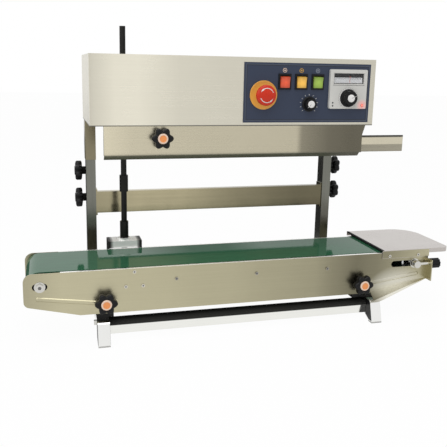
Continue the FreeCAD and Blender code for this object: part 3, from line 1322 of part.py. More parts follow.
def infeed_guide():
    """Two bent sheets that lead a bag's mouth between the bands, hung from the floor plate."""
    front = SEAL_Y - GUIDE_GAP / 2
    rear = SEAL_Y + GUIDE_GAP / 2
    bent = [
        (front - GUIDE_WALL, GUIDE_BOTTOM), (front, GUIDE_BOTTOM), (front, GUIDE_BEND),
        (front + GUIDE_LEAN, GUIDE_TOP), (front + GUIDE_LEAN - GUIDE_WALL, GUIDE_TOP),
        (front - GUIDE_WALL, GUIDE_BEND),
    ]
    front_sheet = prism_yz(bent, GUIDE_START, GUIDE_END)
    rear_sheet = block(GUIDE_START, GUIDE_END + GUIDE_REAR_EXTRA, rear, rear + GUIDE_WALL,
                       GUIDE_BOTTOM, GUIDE_TOP + 2)
    hanger_left = GUIDE_HANGER_X - GUIDE_HANGER_WIDTH / 2
    hanger_right = GUIDE_HANGER_X + GUIDE_HANGER_WIDTH / 2
    rear_hanger = block(hanger_left, hanger_right, rear, rear + GUIDE_WALL, GUIDE_TOP, FLOOR_Z)
    lean_end = front + GUIDE_LEAN
    front_hanger = block(hanger_left, hanger_right, lean_end - GUIDE_WALL, lean_end, GUIDE_TOP - 1, FLOOR_Z)
    tie = block(hanger_left, hanger_right, lean_end - GUIDE_WALL, rear + GUIDE_WALL,
                FLOOR_Z - 2 * GUIDE_WALL, FLOOR_Z)
    return fuse(front_sheet, rear_sheet, rear_hanger, front_hanger, tie)


def control_panel():
    """The panel plate, with holes for the controls."""
    plate = block(PANEL_LEFT, PANEL_RIGHT, PANEL_FRONT, HEAD_FRONT, PANEL_BOTTOM, PANEL_TOP)
    cutters = [rod((ESTOP_X, PANEL_FRONT, ESTOP_Z), Y_AXIS, ESTOP_BODY_RADIUS, PANEL_THICKNESS)]
    cutters.append(rod((SPEED_X, PANEL_FRONT, SPEED_Z), Y_AXIS, DIAL_STEM_RADIUS + RUNNING_CLEARANCE,
                       PANEL_THICKNESS))
    body = CONTROLLER_BODY / 2
    cutters.append(block(CONTROLLER_X - body, CONTROLLER_X + body, PANEL_FRONT, HEAD_FRONT,
                         CONTROLLER_Z - body, CONTROLLER_Z + body))
    half_x = SWITCH_WIDTH / 2 - SWITCH_FRAME / 2
    half_z = SWITCH_HEIGHT / 2 - SWITCH_FRAME / 2
    for x in SWITCH_XS:
        cutters.append(block(x - half_x, x + half_x, PANEL_FRONT, HEAD_FRONT,
                             SWITCH_Z - half_z, SWITCH_Z + half_z))
    return plate.cut(Part.makeCompound(cutters))


def estop_collar():
    """The emergency stop's round plate, ring and contact barrel."""
    seat = (ESTOP_X, PANEL_FRONT, ESTOP_Z)
    out = Y_AXIS * -1
    plate = rod(seat, out, ESTOP_PLATE_RADIUS, ESTOP_PLATE_THICKNESS)
    ring = rod(seat, out, ESTOP_RING_RADIUS, ESTOP_RING_HEIGHT)
    barrel = rod(seat, Y_AXIS, ESTOP_BODY_RADIUS, ESTOP_BODY_DEPTH)
    bore_start = (ESTOP_X, PANEL_FRONT - ESTOP_RING_HEIGHT, ESTOP_Z)
    bore = rod(bore_start, Y_AXIS, ESTOP_STEM_RADIUS + RUNNING_CLEARANCE,
               ESTOP_RING_HEIGHT + ESTOP_BODY_DEPTH * 0.7)
    return fuse(plate, ring, barrel).cut(bore)


def estop_button():
    """The mushroom head on its stem."""
    under = PANEL_FRONT - ESTOP_RING_HEIGHT - ESTOP_TRAVEL - 1
    out = Y_AXIS * -1
    stem_end = PANEL_FRONT + ESTOP_BODY_DEPTH * 0.7 - ESTOP_TRAVEL - 1
    stem = rod((ESTOP_X, under, ESTOP_Z), Y_AXIS, ESTOP_STEM_RADIUS, stem_end - under)
    edge = rod((ESTOP_X, under, ESTOP_Z), out, ESTOP_HEAD_RADIUS, ESTOP_HEAD_EDGE)
    sphere_radius = (ESTOP_HEAD_RADIUS ** 2 + ESTOP_HEAD_DOME ** 2) / (2 * ESTOP_HEAD_DOME)
    face = under - ESTOP_HEAD_EDGE
    ball = Part.makeSphere(sphere_radius, Vector(ESTOP_X, face - ESTOP_HEAD_DOME + sphere_radius, ESTOP_Z))
    dome = ball.common(rod((ESTOP_X, face, ESTOP_Z), out, ESTOP_HEAD_RADIUS, ESTOP_HEAD_DOME))
    return fuse(stem, edge, dome)


def switch_bezels():
    """The frames of the three rocker switches, with their bodies behind the panel."""
    solids = []
    half_x = SWITCH_WIDTH / 2
    half_z = SWITCH_HEIGHT / 2
    body_x = half_x - SWITCH_FRAME / 2
    body_z = half_z - SWITCH_FRAME / 2
    for x in SWITCH_XS:
        frame = block(x - half_x, x + half_x, PANEL_FRONT - SWITCH_PROUD, PANEL_FRONT,
                      SWITCH_Z - half_z, SWITCH_Z + half_z)
        body = block(x - body_x, x + body_x, PANEL_FRONT, PANEL_FRONT + SWITCH_BODY_DEPTH,
                     SWITCH_Z - body_z, SWITCH_Z + body_z)
        well = block(x - half_x + SWITCH_FRAME, x + half_x - SWITCH_FRAME, PANEL_FRONT - SWITCH_PROUD,
                     PANEL_FRONT + SWITCH_BODY_DEPTH * 0.8, SWITCH_Z - half_z + SWITCH_FRAME,
                     SWITCH_Z + half_z - SWITCH_FRAME)
        solids.append(fuse(frame, body).cut(well))
    return solids


def rocker_pivot():
    """Y and Z of the rockers' pivot line."""
    return (PANEL_FRONT + ROCKER_DEPTH / 2, SWITCH_Z)


def rocker(x):
    """One rocker, drawn level and then tipped to its on position."""
    pivot_y, pivot_z = rocker_pivot()
    half_x = SWITCH_WIDTH / 2 - SWITCH_FRAME - CLEARANCE
    half_z = SWITCH_HEIGHT / 2 - SWITCH_FRAME - ROCKER_GAP
    face = PANEL_FRONT - SWITCH_PROUD - ROCKER_PROUD
    notch = half_z * math.tan(math.radians(ROCKER_TILT))
    back = PANEL_FRONT + ROCKER_DEPTH
    profile = [
        (face, SWITCH_Z + half_z), (face + notch, SWITCH_Z), (face, SWITCH_Z - half_z),
        (pivot_y, SWITCH_Z - half_z), (back, SWITCH_Z - half_z / 2),
        (back, SWITCH_Z + half_z / 2), (pivot_y, SWITCH_Z + half_z),
    ]
    body = prism_yz(profile, x - half_x, x + half_x)
    pin_length = 2 * (half_x + CLEARANCE) - 2 * RUNNING_CLEARANCE
    pin = rod((x - pin_length / 2, pivot_y, pivot_z), X_AXIS, ROCKER_DEPTH / 4, pin_length)
    body = fuse(body, pin)
    body.rotate(Vector(x, pivot_y, pivot_z), X_AXIS, ROCKER_TILT)
    return body


def dial_knob(x, z, face, radius, top_radius, height, cap_radius):
    """A round dial knob with a skirt, a tapered grip, a cap and a stem behind the face."""
    out = Y_AXIS * -1
    seat = Vector(x, face - CLEARANCE, z)
    skirt = Part.makeCylinder(radius, DIAL_SKIRT, seat, out)
    grip = Part.makeCone(top_radius + 1.0, top_radius, height - DIAL_SKIRT,
                         seat + out * DIAL_SKIRT, out)
    cap = Part.makeCylinder(cap_radius, DIAL_CAP_HEIGHT, seat + out * height, out)
    stem = Part.makeCylinder(DIAL_STEM_RADIUS, DIAL_STEM_LENGTH, seat, Y_AXIS)
    return fuse(skirt, grip, cap, stem)


def temperature_controller():
    """The controller's raised front with its window recess, and its case behind the panel."""
    half_x = CONTROLLER_WIDTH / 2
    half_z = CONTROLLER_HEIGHT / 2
    corners = [
        (CONTROLLER_X - half_x, CONTROLLER_Z - half_z, CONTROLLER_CORNER),
        (CONTROLLER_X + half_x, CONTROLLER_Z - half_z, CONTROLLER_CORNER),
        (CONTROLLER_X + half_x, CONTROLLER_Z + half_z, CONTROLLER_CORNER),
        (CONTROLLER_X - half_x, CONTROLLER_Z + half_z, CONTROLLER_CORNER),
    ]
    front = prism_xz(corners, CONTROLLER_FRONT, PANEL_FRONT)
    body = CONTROLLER_BODY / 2
    case = block(CONTROLLER_X - body, CONTROLLER_X + body, PANEL_FRONT, PANEL_FRONT + CONTROLLER_DEPTH,
                 CONTROLLER_Z - body, CONTROLLER_Z + body)
    window = block(CONTROLLER_X - WINDOW_WIDTH / 2, CONTROLLER_X + WINDOW_WIDTH / 2, CONTROLLER_FRONT,
                   CONTROLLER_FRONT + WINDOW_DEPTH, WINDOW_Z - WINDOW_HEIGHT / 2,
                   WINDOW_Z + WINDOW_HEIGHT / 2)
    bore = rod((CONTROLLER_X, CONTROLLER_FRONT, TEMP_KNOB_Z), Y_AXIS, DIAL_STEM_RADIUS + RUNNING_CLEARANCE,
               DIAL_STEM_LENGTH + 1)
    return fuse(front, case).cut(window).cut(bore)


def controller_window():
    """The clear pane in front of the controller's scale."""
    return block(CONTROLLER_X - WINDOW_WIDTH / 2, CONTROLLER_X + WINDOW_WIDTH / 2,
                 CONTROLLER_FRONT + WINDOW_THICKNESS / 2, CONTROLLER_FRONT + WINDOW_THICKNESS * 1.5,
                 WINDOW_Z - WINDOW_HEIGHT / 2, WINDOW_Z + WINDOW_HEIGHT / 2)


def conveyor_knob(x):
    """A star knob in front of the conveyor, its stud through the plate and the bracket's slot."""
    stud = PLATE_THICKNESS + SLIDING_CLEARANCE + BRACKET_THICKNESS + CLEARANCE
    return star_knob((x, -CLEARANCE, CONVEYOR_KNOB_Z), Y_AXIS * -1, stud)


def post_knob(x, side, drop):
    """A star knob on the outer side of a post, its stud against the slide bar."""
    seat = (x + side * (POST_WIDTH / 2 + CLEARANCE), POST_Y, POST_TOP - drop)
    return star_knob(seat, X_AXIS * side, POST_WALL + CLEARANCE)


def guard_knob():
    """The star knob that holds the guard to its strap."""
    stud = GUARD_WALL + GUARD_STRAP_GAP + GUARD_STRAP_DEPTH + CLEARANCE
    return star_knob((GUARD_KNOB_X, GUARD_FRONT - CLEARANCE, GUARD_KNOB_Z), Y_AXIS * -1, stud)


def base_pieces():
    """The stand."""
    return {
        "legs": [drilled(leg, frame_bolts()) for leg in legs()],
        "rubber_feet": rubber_feet(),
        "base_rails": base_rails(),
        "clamp_brackets": clamp_brackets(),
        "posts": [drilled(post, frame_bolts()) for post in posts()],
        "cross_bar": [drilled(cross_bar(), frame_bolts())],
        "frame_bolts": frame_bolts(),
    }


def conveyor_pieces():
    """The conveyor and what turns or slides in it."""
    knob = tension_knob()
    return {
        "front_side_plate": [front_side_plate()],
        "rear_side_plate": [rear_side_plate()],
        "slider_bed": slider_bed(),
        "spreader_tubes": spreader_tubes(),
        "conveyor_fasteners": conveyor_screws() + conveyor_bolts(),
        "conveyor_belt": [conveyor_belt()],
        "work_table": [work_table()],
        "tail_axle": [tail_axle()],
        "tail_roller": [belt_roller(TAIL_X)],
        "drive_bearings": drive_bearings(),
        "drive_roller": [drive_roller()],
        "bevel_gear": [bevel_gear()],
        "gear_bracket": [gear_bracket()],
        "drive_shaft": [drive_shaft()] + shaft_sleeves(),
        "bevel_pinion": [bevel_pinion()],
        "tension_axle": [tension_axle()],
        "idler_roller": [belt_roller(IDLER_X)],
        "front_tension_knob": [knob],
        "rear_tension_knob": [to_rear(knob)],
        "left_conveyor_knob": [conveyor_knob(CONVEYOR_KNOB_LEFT_X)],
        "right_conveyor_knob": [conveyor_knob(CONVEYOR_KNOB_RIGHT_X)],
    }


def post_knob_pieces():
    """The four star knobs on the posts."""
    pieces = {}
    for side_name, x, side in (("left", LEG_LEFT_X, -1), ("right", LEG_RIGHT_X, 1)):
        for level, drop in zip(("upper", "lower"), POST_KNOB_DROPS):
            pieces[side_name + "_" + level + "_post_knob"] = [post_knob(x, side, drop)]
    return pieces


def head_pieces():
    """The head, its band mechanism and its guard."""
    pieces = {
        "head_housing": [head_housing()],
        "head_rear_cover": [head_rear_cover()],
        "head_floor": [head_floor()],
        "head_slides": head_slides(),
        "head_screws": head_screws(),
        "power_inlet": [power_inlet()],
        "gear_motor": [gear_motor()],
        "shaft_gear": [shaft_gear()],
        "sealing_bands": sealing_bands(),
        "sealing_blocks": sealing_blocks(),
        "infeed_guide": [infeed_guide()],
        "guard_cover": [guard_cover()],
        "guard_knob": [guard_knob()],
    }
    for name in wheel_places():
        pieces[name + "_wheel"] = [band_wheel_form(name)]
    return pieces


def panel_pieces():
    """The control panel and its controls."""
    pieces = {
        "control_panel": [control_panel()],
        "estop_collar": [estop_collar()],
        "estop_button": [estop_button()],
        "switch_bezels": switch_bezels(),
        "temperature_controller": [temperature_controller()],
        "controller_window": [controller_window()],
        "speed_knob": [dial_knob(SPEED_X, SPEED_Z, PANEL_FRONT, SPEED_RADIUS, SPEED_TOP_RADIUS,
                                 SPEED_HEIGHT, SPEED_CAP_RADIUS)],
        "temperature_knob": [dial_knob(CONTROLLER_X, TEMP_KNOB_Z, CONTROLLER_FRONT, TEMP_KNOB_RADIUS,
                                       TEMP_KNOB_TOP_RADIUS, TEMP_KNOB_HEIGHT, TEMP_CAP_RADIUS)],
    }
    for name, x in zip(("power", "heat", "fan"), SWITCH_XS):
        pieces[name + "_rocker"] = [rocker(x)]
    return pieces


def write_piece(name, solids):
    """One file for a named piece, moved to the machine's own origin."""
    shape = solids[0] if len(solids) == 1 else Part.makeCompound(solids)
    shape = shape.copy()
    shape.translate(ORIGIN * -1)
    if not shape.isValid():
        print("not valid:", name)
    shape.exportStep(os.path.join("parts", name + ".step"))
    print(name, len(shape.Solids), "solids", round(shape.Volume / 1000, 2), "cm3")


def main():
    """Build and write every piece."""
    os.makedirs("parts", exist_ok=True)
    for pieces in (base_pieces(), conveyor_pieces(), post_knob_pieces(), head_pieces(), panel_pieces()):
        for name, solids in pieces.items():
            write_piece(name, solids)


if __name__ == "__main__":
    main()
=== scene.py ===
"""Looks for a vertical band sealer with a belt conveyor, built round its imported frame."""
import logging
import math
from dataclasses import dataclass
from enum import Enum
from typing import ClassVar, Sequence

import bmesh
import bpy
from mathutils import Matrix, Vector


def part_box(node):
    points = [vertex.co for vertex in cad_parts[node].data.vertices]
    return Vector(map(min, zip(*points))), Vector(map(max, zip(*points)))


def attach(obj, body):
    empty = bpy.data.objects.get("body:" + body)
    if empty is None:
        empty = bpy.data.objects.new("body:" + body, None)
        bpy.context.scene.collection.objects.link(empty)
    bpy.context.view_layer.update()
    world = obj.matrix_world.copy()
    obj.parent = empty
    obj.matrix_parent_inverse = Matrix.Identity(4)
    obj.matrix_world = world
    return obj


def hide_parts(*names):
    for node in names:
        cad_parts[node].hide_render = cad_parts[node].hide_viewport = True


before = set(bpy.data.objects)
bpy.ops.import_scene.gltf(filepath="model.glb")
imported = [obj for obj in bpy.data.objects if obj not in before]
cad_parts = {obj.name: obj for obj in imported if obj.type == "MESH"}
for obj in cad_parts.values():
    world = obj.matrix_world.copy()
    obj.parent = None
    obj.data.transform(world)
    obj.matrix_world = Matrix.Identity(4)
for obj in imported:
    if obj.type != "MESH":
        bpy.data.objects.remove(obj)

LOG = logging.getLogger("band_sealer")
MM = 0.001
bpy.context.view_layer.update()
SAME_POINT = 1e-7
ISLAND_GAP = 1e-6
Pair = tuple[float, float]
Stops = tuple[Pair, ...]
Triple = tuple[float, float, float]
Colour = Triple
BLACK: Colour = (0.0, 0.0, 0.0)
WHITE: Colour = (1.0, 1.0, 1.0)
RAYS = ("Camera", "Glossy", "Transmission")


def shade(colour: Colour, factor: float) -> Colour:
    """A colour made lighter or darker."""
    return tuple(min(1.0, channel * factor) for channel in colour)


def middle_of(node: str) -> Vector:
    """Middle of a CAD node's box, in metres."""
    low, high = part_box(node)
    return (low + high) / 2


class Value:
    """A number socket; arithmetic on it adds Math nodes."""

    def __init__(self, sheet: "NodeSheet", socket: bpy.types.NodeSocket) -> None:
        """Keep the socket and the sheet that it lies on."""
        self.sheet = sheet
        self.socket = socket

    def math(self, operation: str, first: object, second: object) -> "Value":
        """Add a Math node.

        Args:
            operation: The node's operation.
            first: Value or number for the first socket.
            second: Value or number for the second socket.

        Returns:
            The node's result.
        """
        node = self.sheet.add("ShaderNodeMath", {"operation": operation}, {0: first, 1: second})
        return Value(self.sheet, node.outputs[0])

    def __add__(self, other: object) -> "Value":
        """Sum."""
        return self.math("ADD", self, other)

    def __radd__(self, other: object) -> "Value":
        """Sum, with a number first."""
        return self.math("ADD", other, self)

    def __sub__(self, other: object) -> "Value":
        """Difference."""
        return self.math("SUBTRACT", self, other)

    def __rsub__(self, other: object) -> "Value":
        """Difference, with a number first."""
        return self.math("SUBTRACT", other, self)

    def __mul__(self, other: object) -> "Value":
        """Product."""
        return self.math("MULTIPLY", self, other)

    def __rmul__(self, other: object) -> "Value":
        """Product, with a number first."""
        return self.math("MULTIPLY", other, self)

    def __truediv__(self, other: object) -> "Value":
        """Quotient."""
        return self.math("DIVIDE", self, other)

    def __rtruediv__(self, other: object) -> "Value":
        """Quotient, with a number first."""
        return self.math("DIVIDE", other, self)

    def most(self, other: object) -> "Value":
        """The larger of this and another value."""
        return self.math("MAXIMUM", self, other)

    def least(self, other: object) -> "Value":
        """The smaller of this and another value."""
        return self.math("MINIMUM", self, other)


class NodeSheet:
    """A node tree that is filled through one method."""

    def __init__(self, tree: bpy.types.NodeTree) -> None:
        """Start from an empty tree."""
        self.tree = tree
        tree.nodes.clear()

    def add(self, kind: str, settings: dict | None = None, inputs: dict | None = None) -> bpy.types.Node:
        """Add a node.

        Args:
            kind: The node's type.
            settings: Attributes that are set first; "stops" are a ramp's places and colours.
            inputs: Values or links, by socket name or number.

        Returns:
            The new node.
        """
        node = self.tree.nodes.new(kind)
        for name, value in (settings or {}).items():
            if name == "stops":
                self.set_stops(node.color_ramp, value)
            else:
                setattr(node, name, value)
        for key, value in (inputs or {}).items():
            self.feed(node.inputs[key], value)
        return node

    def set_stops(self, ramp: bpy.types.ColorRamp, stops: Sequence[tuple[float, Colour]]) -> None:
        """Give a ramp its stops.

        Args:
            ramp: The ramp, with at most as many stops as it is to have.
            stops: Place and colour of each stop, in order.
        """
        while len(ramp.elements) < len(stops):
            ramp.elements.new(0.5)
        for element, (place, colour) in zip(ramp.elements, stops):
            element.position = place
            element.color = (*colour, 1.0)

    def feed(self, socket: bpy.types.NodeSocket, value: object) -> None:
        """Link a value to a socket, or set the socket to a constant.

        Args:
            socket: The socket to feed.
            value: A value or socket to link, or a number, colour or vector.
        """
        if isinstance(value, Value):
            value = value.socket
        if isinstance(value, bpy.types.NodeSocket):
            self.tree.links.new(value, socket)
        elif socket.type == "RGBA" and len(value) == 3:
            socket.default_value = (*value, 1.0)
        else:
            socket.default_value = value


@dataclass(frozen=True)
class Layer:
    """One layer of noise in a finish, with its size per metre and its share in the tone."""

    scale: float
    detail: float = 3.0
    share: float = 1.0
    stretch: Triple = (1.0, 1.0, 1.0)


class Surface(NodeSheet):
    """A material's tree, with the textures that the finishes share."""

    fine_bump: ClassVar[float] = 0.0002
    left_end: ClassVar[float] = -0.434
    right_end: ClassVar[float] = 0.434

    def __init__(self, name: str) -> None:
        """Make an empty material.

        Args:
            name: The material's name.
        """
        self.material = bpy.data.materials.new(name)
        self.material.use_nodes = True
        super().__init__(self.material.node_tree)
        self.place = self.add("ShaderNodeTexCoord").outputs["Object"]

    def stretched(self, scale: Sequence[float], turn: Sequence[float] = (0, 0, 0)) -> bpy.types.NodeSocket:
        """Object coordinates, scaled and turned."""
        node = self.add("ShaderNodeMapping", None, {"Vector": self.place, "Scale": scale, "Rotation": turn})
        return node.outputs["Vector"]

    def noise(self, layer: Layer) -> Value:
        """Cloudy noise, from 0 to 1."""
        inputs = {"Vector": self.stretched(layer.stretch), "Scale": layer.scale, "Detail": layer.detail}
        return Value(self, self.add("ShaderNodeTexNoise", None, inputs).outputs["Fac"])

    def specks(self, scale: float) -> Value:
        """Distance to the nearest of scattered points."""
        node = self.add("ShaderNodeTexVoronoi", None, {"Vector": self.place, "Scale": scale})
        return Value(self, node.outputs["Distance"])

    def waves(self, scale: float, turn: Sequence[float] = (0, 0, 0)) -> Value:
        """Parallel bands across X, or across the way that X is turned to."""
        inputs = {"Vector": self.stretched((1, 1, 1), turn), "Scale": scale}
        return Value(self, self.add("ShaderNodeTexWave", {"bands_direction": "X"}, inputs).outputs["Fac"])

    def along(self, axis: int) -> Value:
        """One of the object coordinates, in metres."""
        node = self.add("ShaderNodeSeparateXYZ", None, {0: self.place})
        return Value(self, node.outputs[axis])

    def along_machine(self) -> Value:
        """Share of the machine's length, counted from its left end."""
        return (self.along(0) - self.left_end) / (self.right_end - self.left_end)

    def ramp(self, factor: Value, stops: Sequence[tuple[float, Colour]]) -> bpy.types.NodeSocket:
        """Colours along a value."""
        return self.add("ShaderNodeValToRGB", {"stops": stops}, {0: factor}).outputs["Color"]

    def levels(self, factor: Value, stops: Sequence[Pair]) -> Value:
        """Numbers along a value."""
        return Value(self, self.ramp(factor, [(place, (level,) * 3) for place, level in stops]))

    def distance(self, centre: Vector) -> Value:
        """Distance from a point, in metres."""
        node = self.add("ShaderNodeVectorMath", {"operation": "DISTANCE"}, {0: self.place, 1: tuple(centre)})
        return Value(self, node.outputs["Value"])

    def mix(self, factor: object, first: object, second: object) -> bpy.types.NodeSocket:
        """Blend two colours."""
        node = self.add("ShaderNodeMix", {"data_type": "RGBA"}, {0: factor, 6: first, 7: second})
        return node.outputs[2]

    def tones(self, factor: object, colour: Colour, dark: float, light: float) -> bpy.types.NodeSocket:
        """Blend from a darker to a lighter shade of a colour."""
        return self.mix(factor, shade(colour, dark), shade(colour, light))

    def bump(self, height: Value, strength: float, distance: float = fine_bump) -> bpy.types.NodeSocket:
        """Turn a height into a normal."""
        inputs = {"Height": height, "Strength": strength, "Distance": distance}
        return self.add("ShaderNodeBump", None, inputs).outputs["Normal"]

    def close(self, inputs: dict) -> bpy.types.Material:
        """End the tree in the surface shader.

        Args:
            inputs: Constants and varying sockets of the shader.

        Returns:
            The finished material.
        """
        shader = self.add("ShaderNodeBsdfPrincipled", None, inputs)
        self.add("ShaderNodeOutputMaterial", None, {"Surface": shader.outputs[0]})
        return self.material


class Grain(Enum):
    """Direction of a brushed finish, as noise factors on the axes."""

    ALONG_X = (5.0, 620.0, 620.0)
    ALONG_Y = (620.0, 5.0, 620.0)
    ALONG_Z = (620.0, 620.0, 5.0)


@dataclass(frozen=True)
class Finish:
    """A surface finish whose material is made once and shared."""

    made: ClassVar[dict[str, bpy.types.Material]] = {}
    name: str
    colour: Colour

    def material(self) -> bpy.types.Material:
        """Make the finish's material when it is first asked for.

        Returns:
            The shared material.
        """
        if self.name not in Finish.made:
            surface = Surface(self.name)
            Finish.made[self.name] = surface.close(self.inputs(surface))
        return Finish.made[self.name]

    def inputs(self, surface: Surface) -> dict:
        """What feeds the shader, by socket."""
        raise NotImplementedError


@dataclass(frozen=True)
class BrushedSheet(Finish):
    """Rolled stainless sheet with a fine grain and soft clouding; its slow drift of tone along X is painted
    reflection.

    Where `node` is named, `shadows` gives the painted shade: the share of shine that the sheet loses to a
    dark shadow colour at each height in millimetres above that node's lowest point. `glint` is the middle of
    a painted highlight, in metres.
    """

    grain: Grain = Grain.ALONG_X
    roughness: float = 0.3
    clouding: float = 0.1
    tones: Stops = ((0.0, 1.0), (1.0, 1.0))
    node: str = ""
    shadows: Stops = ()
    shadow_colour: Colour = (0.02, 0.02, 0.016)
    sheen: float = 0.5
    glint: Triple | None = None
    glint_reach: ClassVar[float] = 0.085
    glint_rise: ClassVar[float] = 1.6
    glint_most: ClassVar[float] = 0.75
    glint_colour: ClassVar[Colour] = (0.93, 0.91, 0.82)
    tallest: ClassVar[float] = 0.15
    line_share: ClassVar[float] = 0.45
    line_swing: ClassVar[float] = 0.12
    line_depth: ClassVar[float] = 0.06
    cloud: ClassVar[Layer] = Layer(7.0, share=0.4)
    smear: ClassVar[Layer] = Layer(26.0, 5.0, 0.15, (1.0, 1.0, 0.4))
    smear_swing: ClassVar[float] = 0.14

    def inputs(self, surface: Surface) -> dict:
        """Lay out the grain, clouding and faint handling marks, and the painted reflection, highlight and
        shade.

        Args:
            surface: The material's tree.

        Returns:
            What feeds the shader, by socket.
        """
        lines = surface.noise(Layer(1.0, 2.0, stretch=self.grain.value))
        smears = surface.noise(self.smear)
        tone = lines * self.line_share + smears * self.smear.share
        tone = tone + surface.noise(self.cloud) * self.cloud.share
        light = 1 / (1 - self.clouding)
        stops = [(place, shade(self.colour, level * light)) for place, level in self.tones]
        # Painted reflection: the colour lighter or darker along X, for the room's light and dark mirrored in
        # the sheet
        drift = surface.ramp(surface.along_machine(), stops)
        colour = surface.mix(tone * 2 * self.clouding, drift, BLACK)
        # Painted highlight: the colour goes towards a pale colour round the glint point
        if self.glint:
            near = (1 - surface.distance(Vector(self.glint)) / self.glint_reach).most(0.0)
            colour = surface.mix((near * self.glint_rise).least(self.glint_most), colour, self.glint_colour)
        metal = 1.0
        # Painted shade by height: the colour goes to the dark shadow colour, and the shine goes with it
        if self.node:
            height = (surface.along(2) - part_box(self.node)[0].z) / self.tallest
            shadows = [(place * MM / self.tallest, level) for place, level in self.shadows]
            painted_shade_share = surface.levels(height, shadows)
            colour = surface.mix(painted_shade_share, colour, self.shadow_colour)
            metal = 1 - painted_shade_share
        rough = self.roughness + (lines - 0.5) * self.line_swing + (smears - 0.5) * self.smear_swing
        return {"Base Color": colour, "Metallic": metal, "Roughness": rough, "Specular IOR Level": self.sheen,
                "Normal": surface.bump(lines, self.line_depth)}


@dataclass(frozen=True)
class Mottled(Finish):
    """A finish whose tone and roughness drift in clouds, with a fine texture."""

    roughness: float = 0.4
    texture: float = 0.1
    gloss: float = 0.5
    contrast: float = 0.12
    metal: ClassVar[float] = 0.0
    cloud: ClassVar[Layer] = Layer(35.0)
    fine: ClassVar[Layer] = Layer(1500.0, 1.0, 0.0)
    swing: ClassVar[float] = 0.2

    def inputs(self, surface: Surface) -> dict:
        """Lay out the clouds and the fine texture.

        Args:
            surface: The material's tree.

        Returns:
            What feeds the shader, by socket.
        """
        cloud = surface.noise(self.cloud)
        fine = surface.noise(self.fine)
        tone = cloud * self.cloud.share + fine * self.fine.share
        return {"Base Color": surface.tones(tone, self.colour, 1 - self.contrast, 1 + self.contrast),
                "Metallic": self.metal, "Roughness": self.roughness + (cloud - 0.5) * self.swing,
                "Specular IOR Level": self.gloss, "Normal": surface.bump(fine, self.texture)}


@dataclass(frozen=True)
class BareMetal(Mottled):
    """Plated or turned metal with patches of tarnish and fine tool marks."""

    texture: float = 0.05
    metal: ClassVar[float] = 1.0
    cloud: ClassVar[Layer] = Layer(60.0, 4.0, 0.7)
    fine: ClassVar[Layer] = Layer(420.0, 2.0, 0.3)
    swing: ClassVar[float] = 0.12


@dataclass(frozen=True)
class Moulding(Mottled):
    """Moulded plastic with a fine spark-eroded grain."""

    gloss: float = 0.4


@dataclass(frozen=True)
class PanelFilm(Mottled):
    """Printed panel film with a fine matt texture."""

    roughness: float = 0.42
    gloss: float = 0.3
    contrast: float = 0.14
    cloud: ClassVar[Layer] = Layer(8.0, share=0.6)
    fine: ClassVar[Layer] = Layer(1400.0, 1.0, 0.4)
    swing: ClassVar[float] = 0.16


@dataclass(frozen=True)
class LampLitMoulding(Mottled):
    """Grey moulding with painted light from a signal lamp on one corner of its face: a red patch and a glow.
    """

    contrast: float = 0.06
    node: ClassVar[str] = "temperature_controller"
    lamp: ClassVar[Pair] = (31.5, -32.0)
    reach: ClassVar[float] = 0.013
    # Colour and share of the painted lamp light in the moulding's colour
    lamp_spill: ClassVar[Colour] = (0.8, 0.3, 0.27)
    lamp_spill_share: ClassVar[float] = 0.7
    glow: ClassVar[Colour] = (1.0, 0.2, 0.16)
    strength: ClassVar[float] = 0.35

    def inputs(self, surface: Surface) -> dict:
        """Paint the lamp's light onto the moulding round it, as a soft red patch and glow.

        Args:
            surface: The material's tree.

        Returns:
            What feeds the shader, by socket.
        """
        middle = middle_of(self.node)
        across, up = (offset * MM for offset in self.lamp)
        centre = Vector((middle.x + across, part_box(self.node)[0].y, middle.z + up))
        # Painted lamp light: red in the base colour and a glow from the moulding, falling off from the lamp
        lit = (1 - surface.distance(centre) / self.reach).most(0.0)
        inputs = super().inputs(surface)
        inputs["Base Color"] = surface.mix(lit * self.lamp_spill_share, inputs["Base Color"], self.lamp_spill)
        inputs["Emission Color"] = surface.mix(lit, BLACK, self.glow)
        inputs["Emission Strength"] = self.strength
        return inputs


@dataclass(frozen=True)
class Belting(Finish):
    """Glossy coated belting with faint streaks along its run, its coat worn thinner in places along X."""

    gloss: Stops = ((0.0, 0.8), (1.0, 0.8))
    streak: ClassVar[Layer] = Layer(1.0, 3.0, 0.6, (8.0, 160.0, 160.0))
    scuff: ClassVar[Layer] = Layer(90.0, 5.0, 0.4, (0.5, 1.0, 1.0))
    ripple: ClassVar[Layer] = Layer(34.0, 2.0)
    ripple_depth: ClassVar[float] = 0.001
    shades: ClassVar[Pair] = (0.78, 1.22)

    def inputs(self, surface: Surface) -> dict:
        """Lay out the streaks, scuffs, coat and a shallow ripple.

        Args:
            surface: The material's tree.

        Returns:
            What feeds the shader, by socket.
        """
        scuffs = surface.noise(self.scuff)
        tone = surface.noise(self.streak) * self.streak.share + scuffs * self.scuff.share
        return {"Base Color": surface.tones(tone, self.colour, *self.shades),
                "Roughness": 0.07 + scuffs * 0.1, "Specular IOR Level": 0.0, "Coat Roughness": 0.06,
                "Coat Weight": surface.levels(surface.along_machine(), self.gloss),
                "Normal": surface.bump(surface.noise(self.ripple), 0.05, self.ripple_depth)}


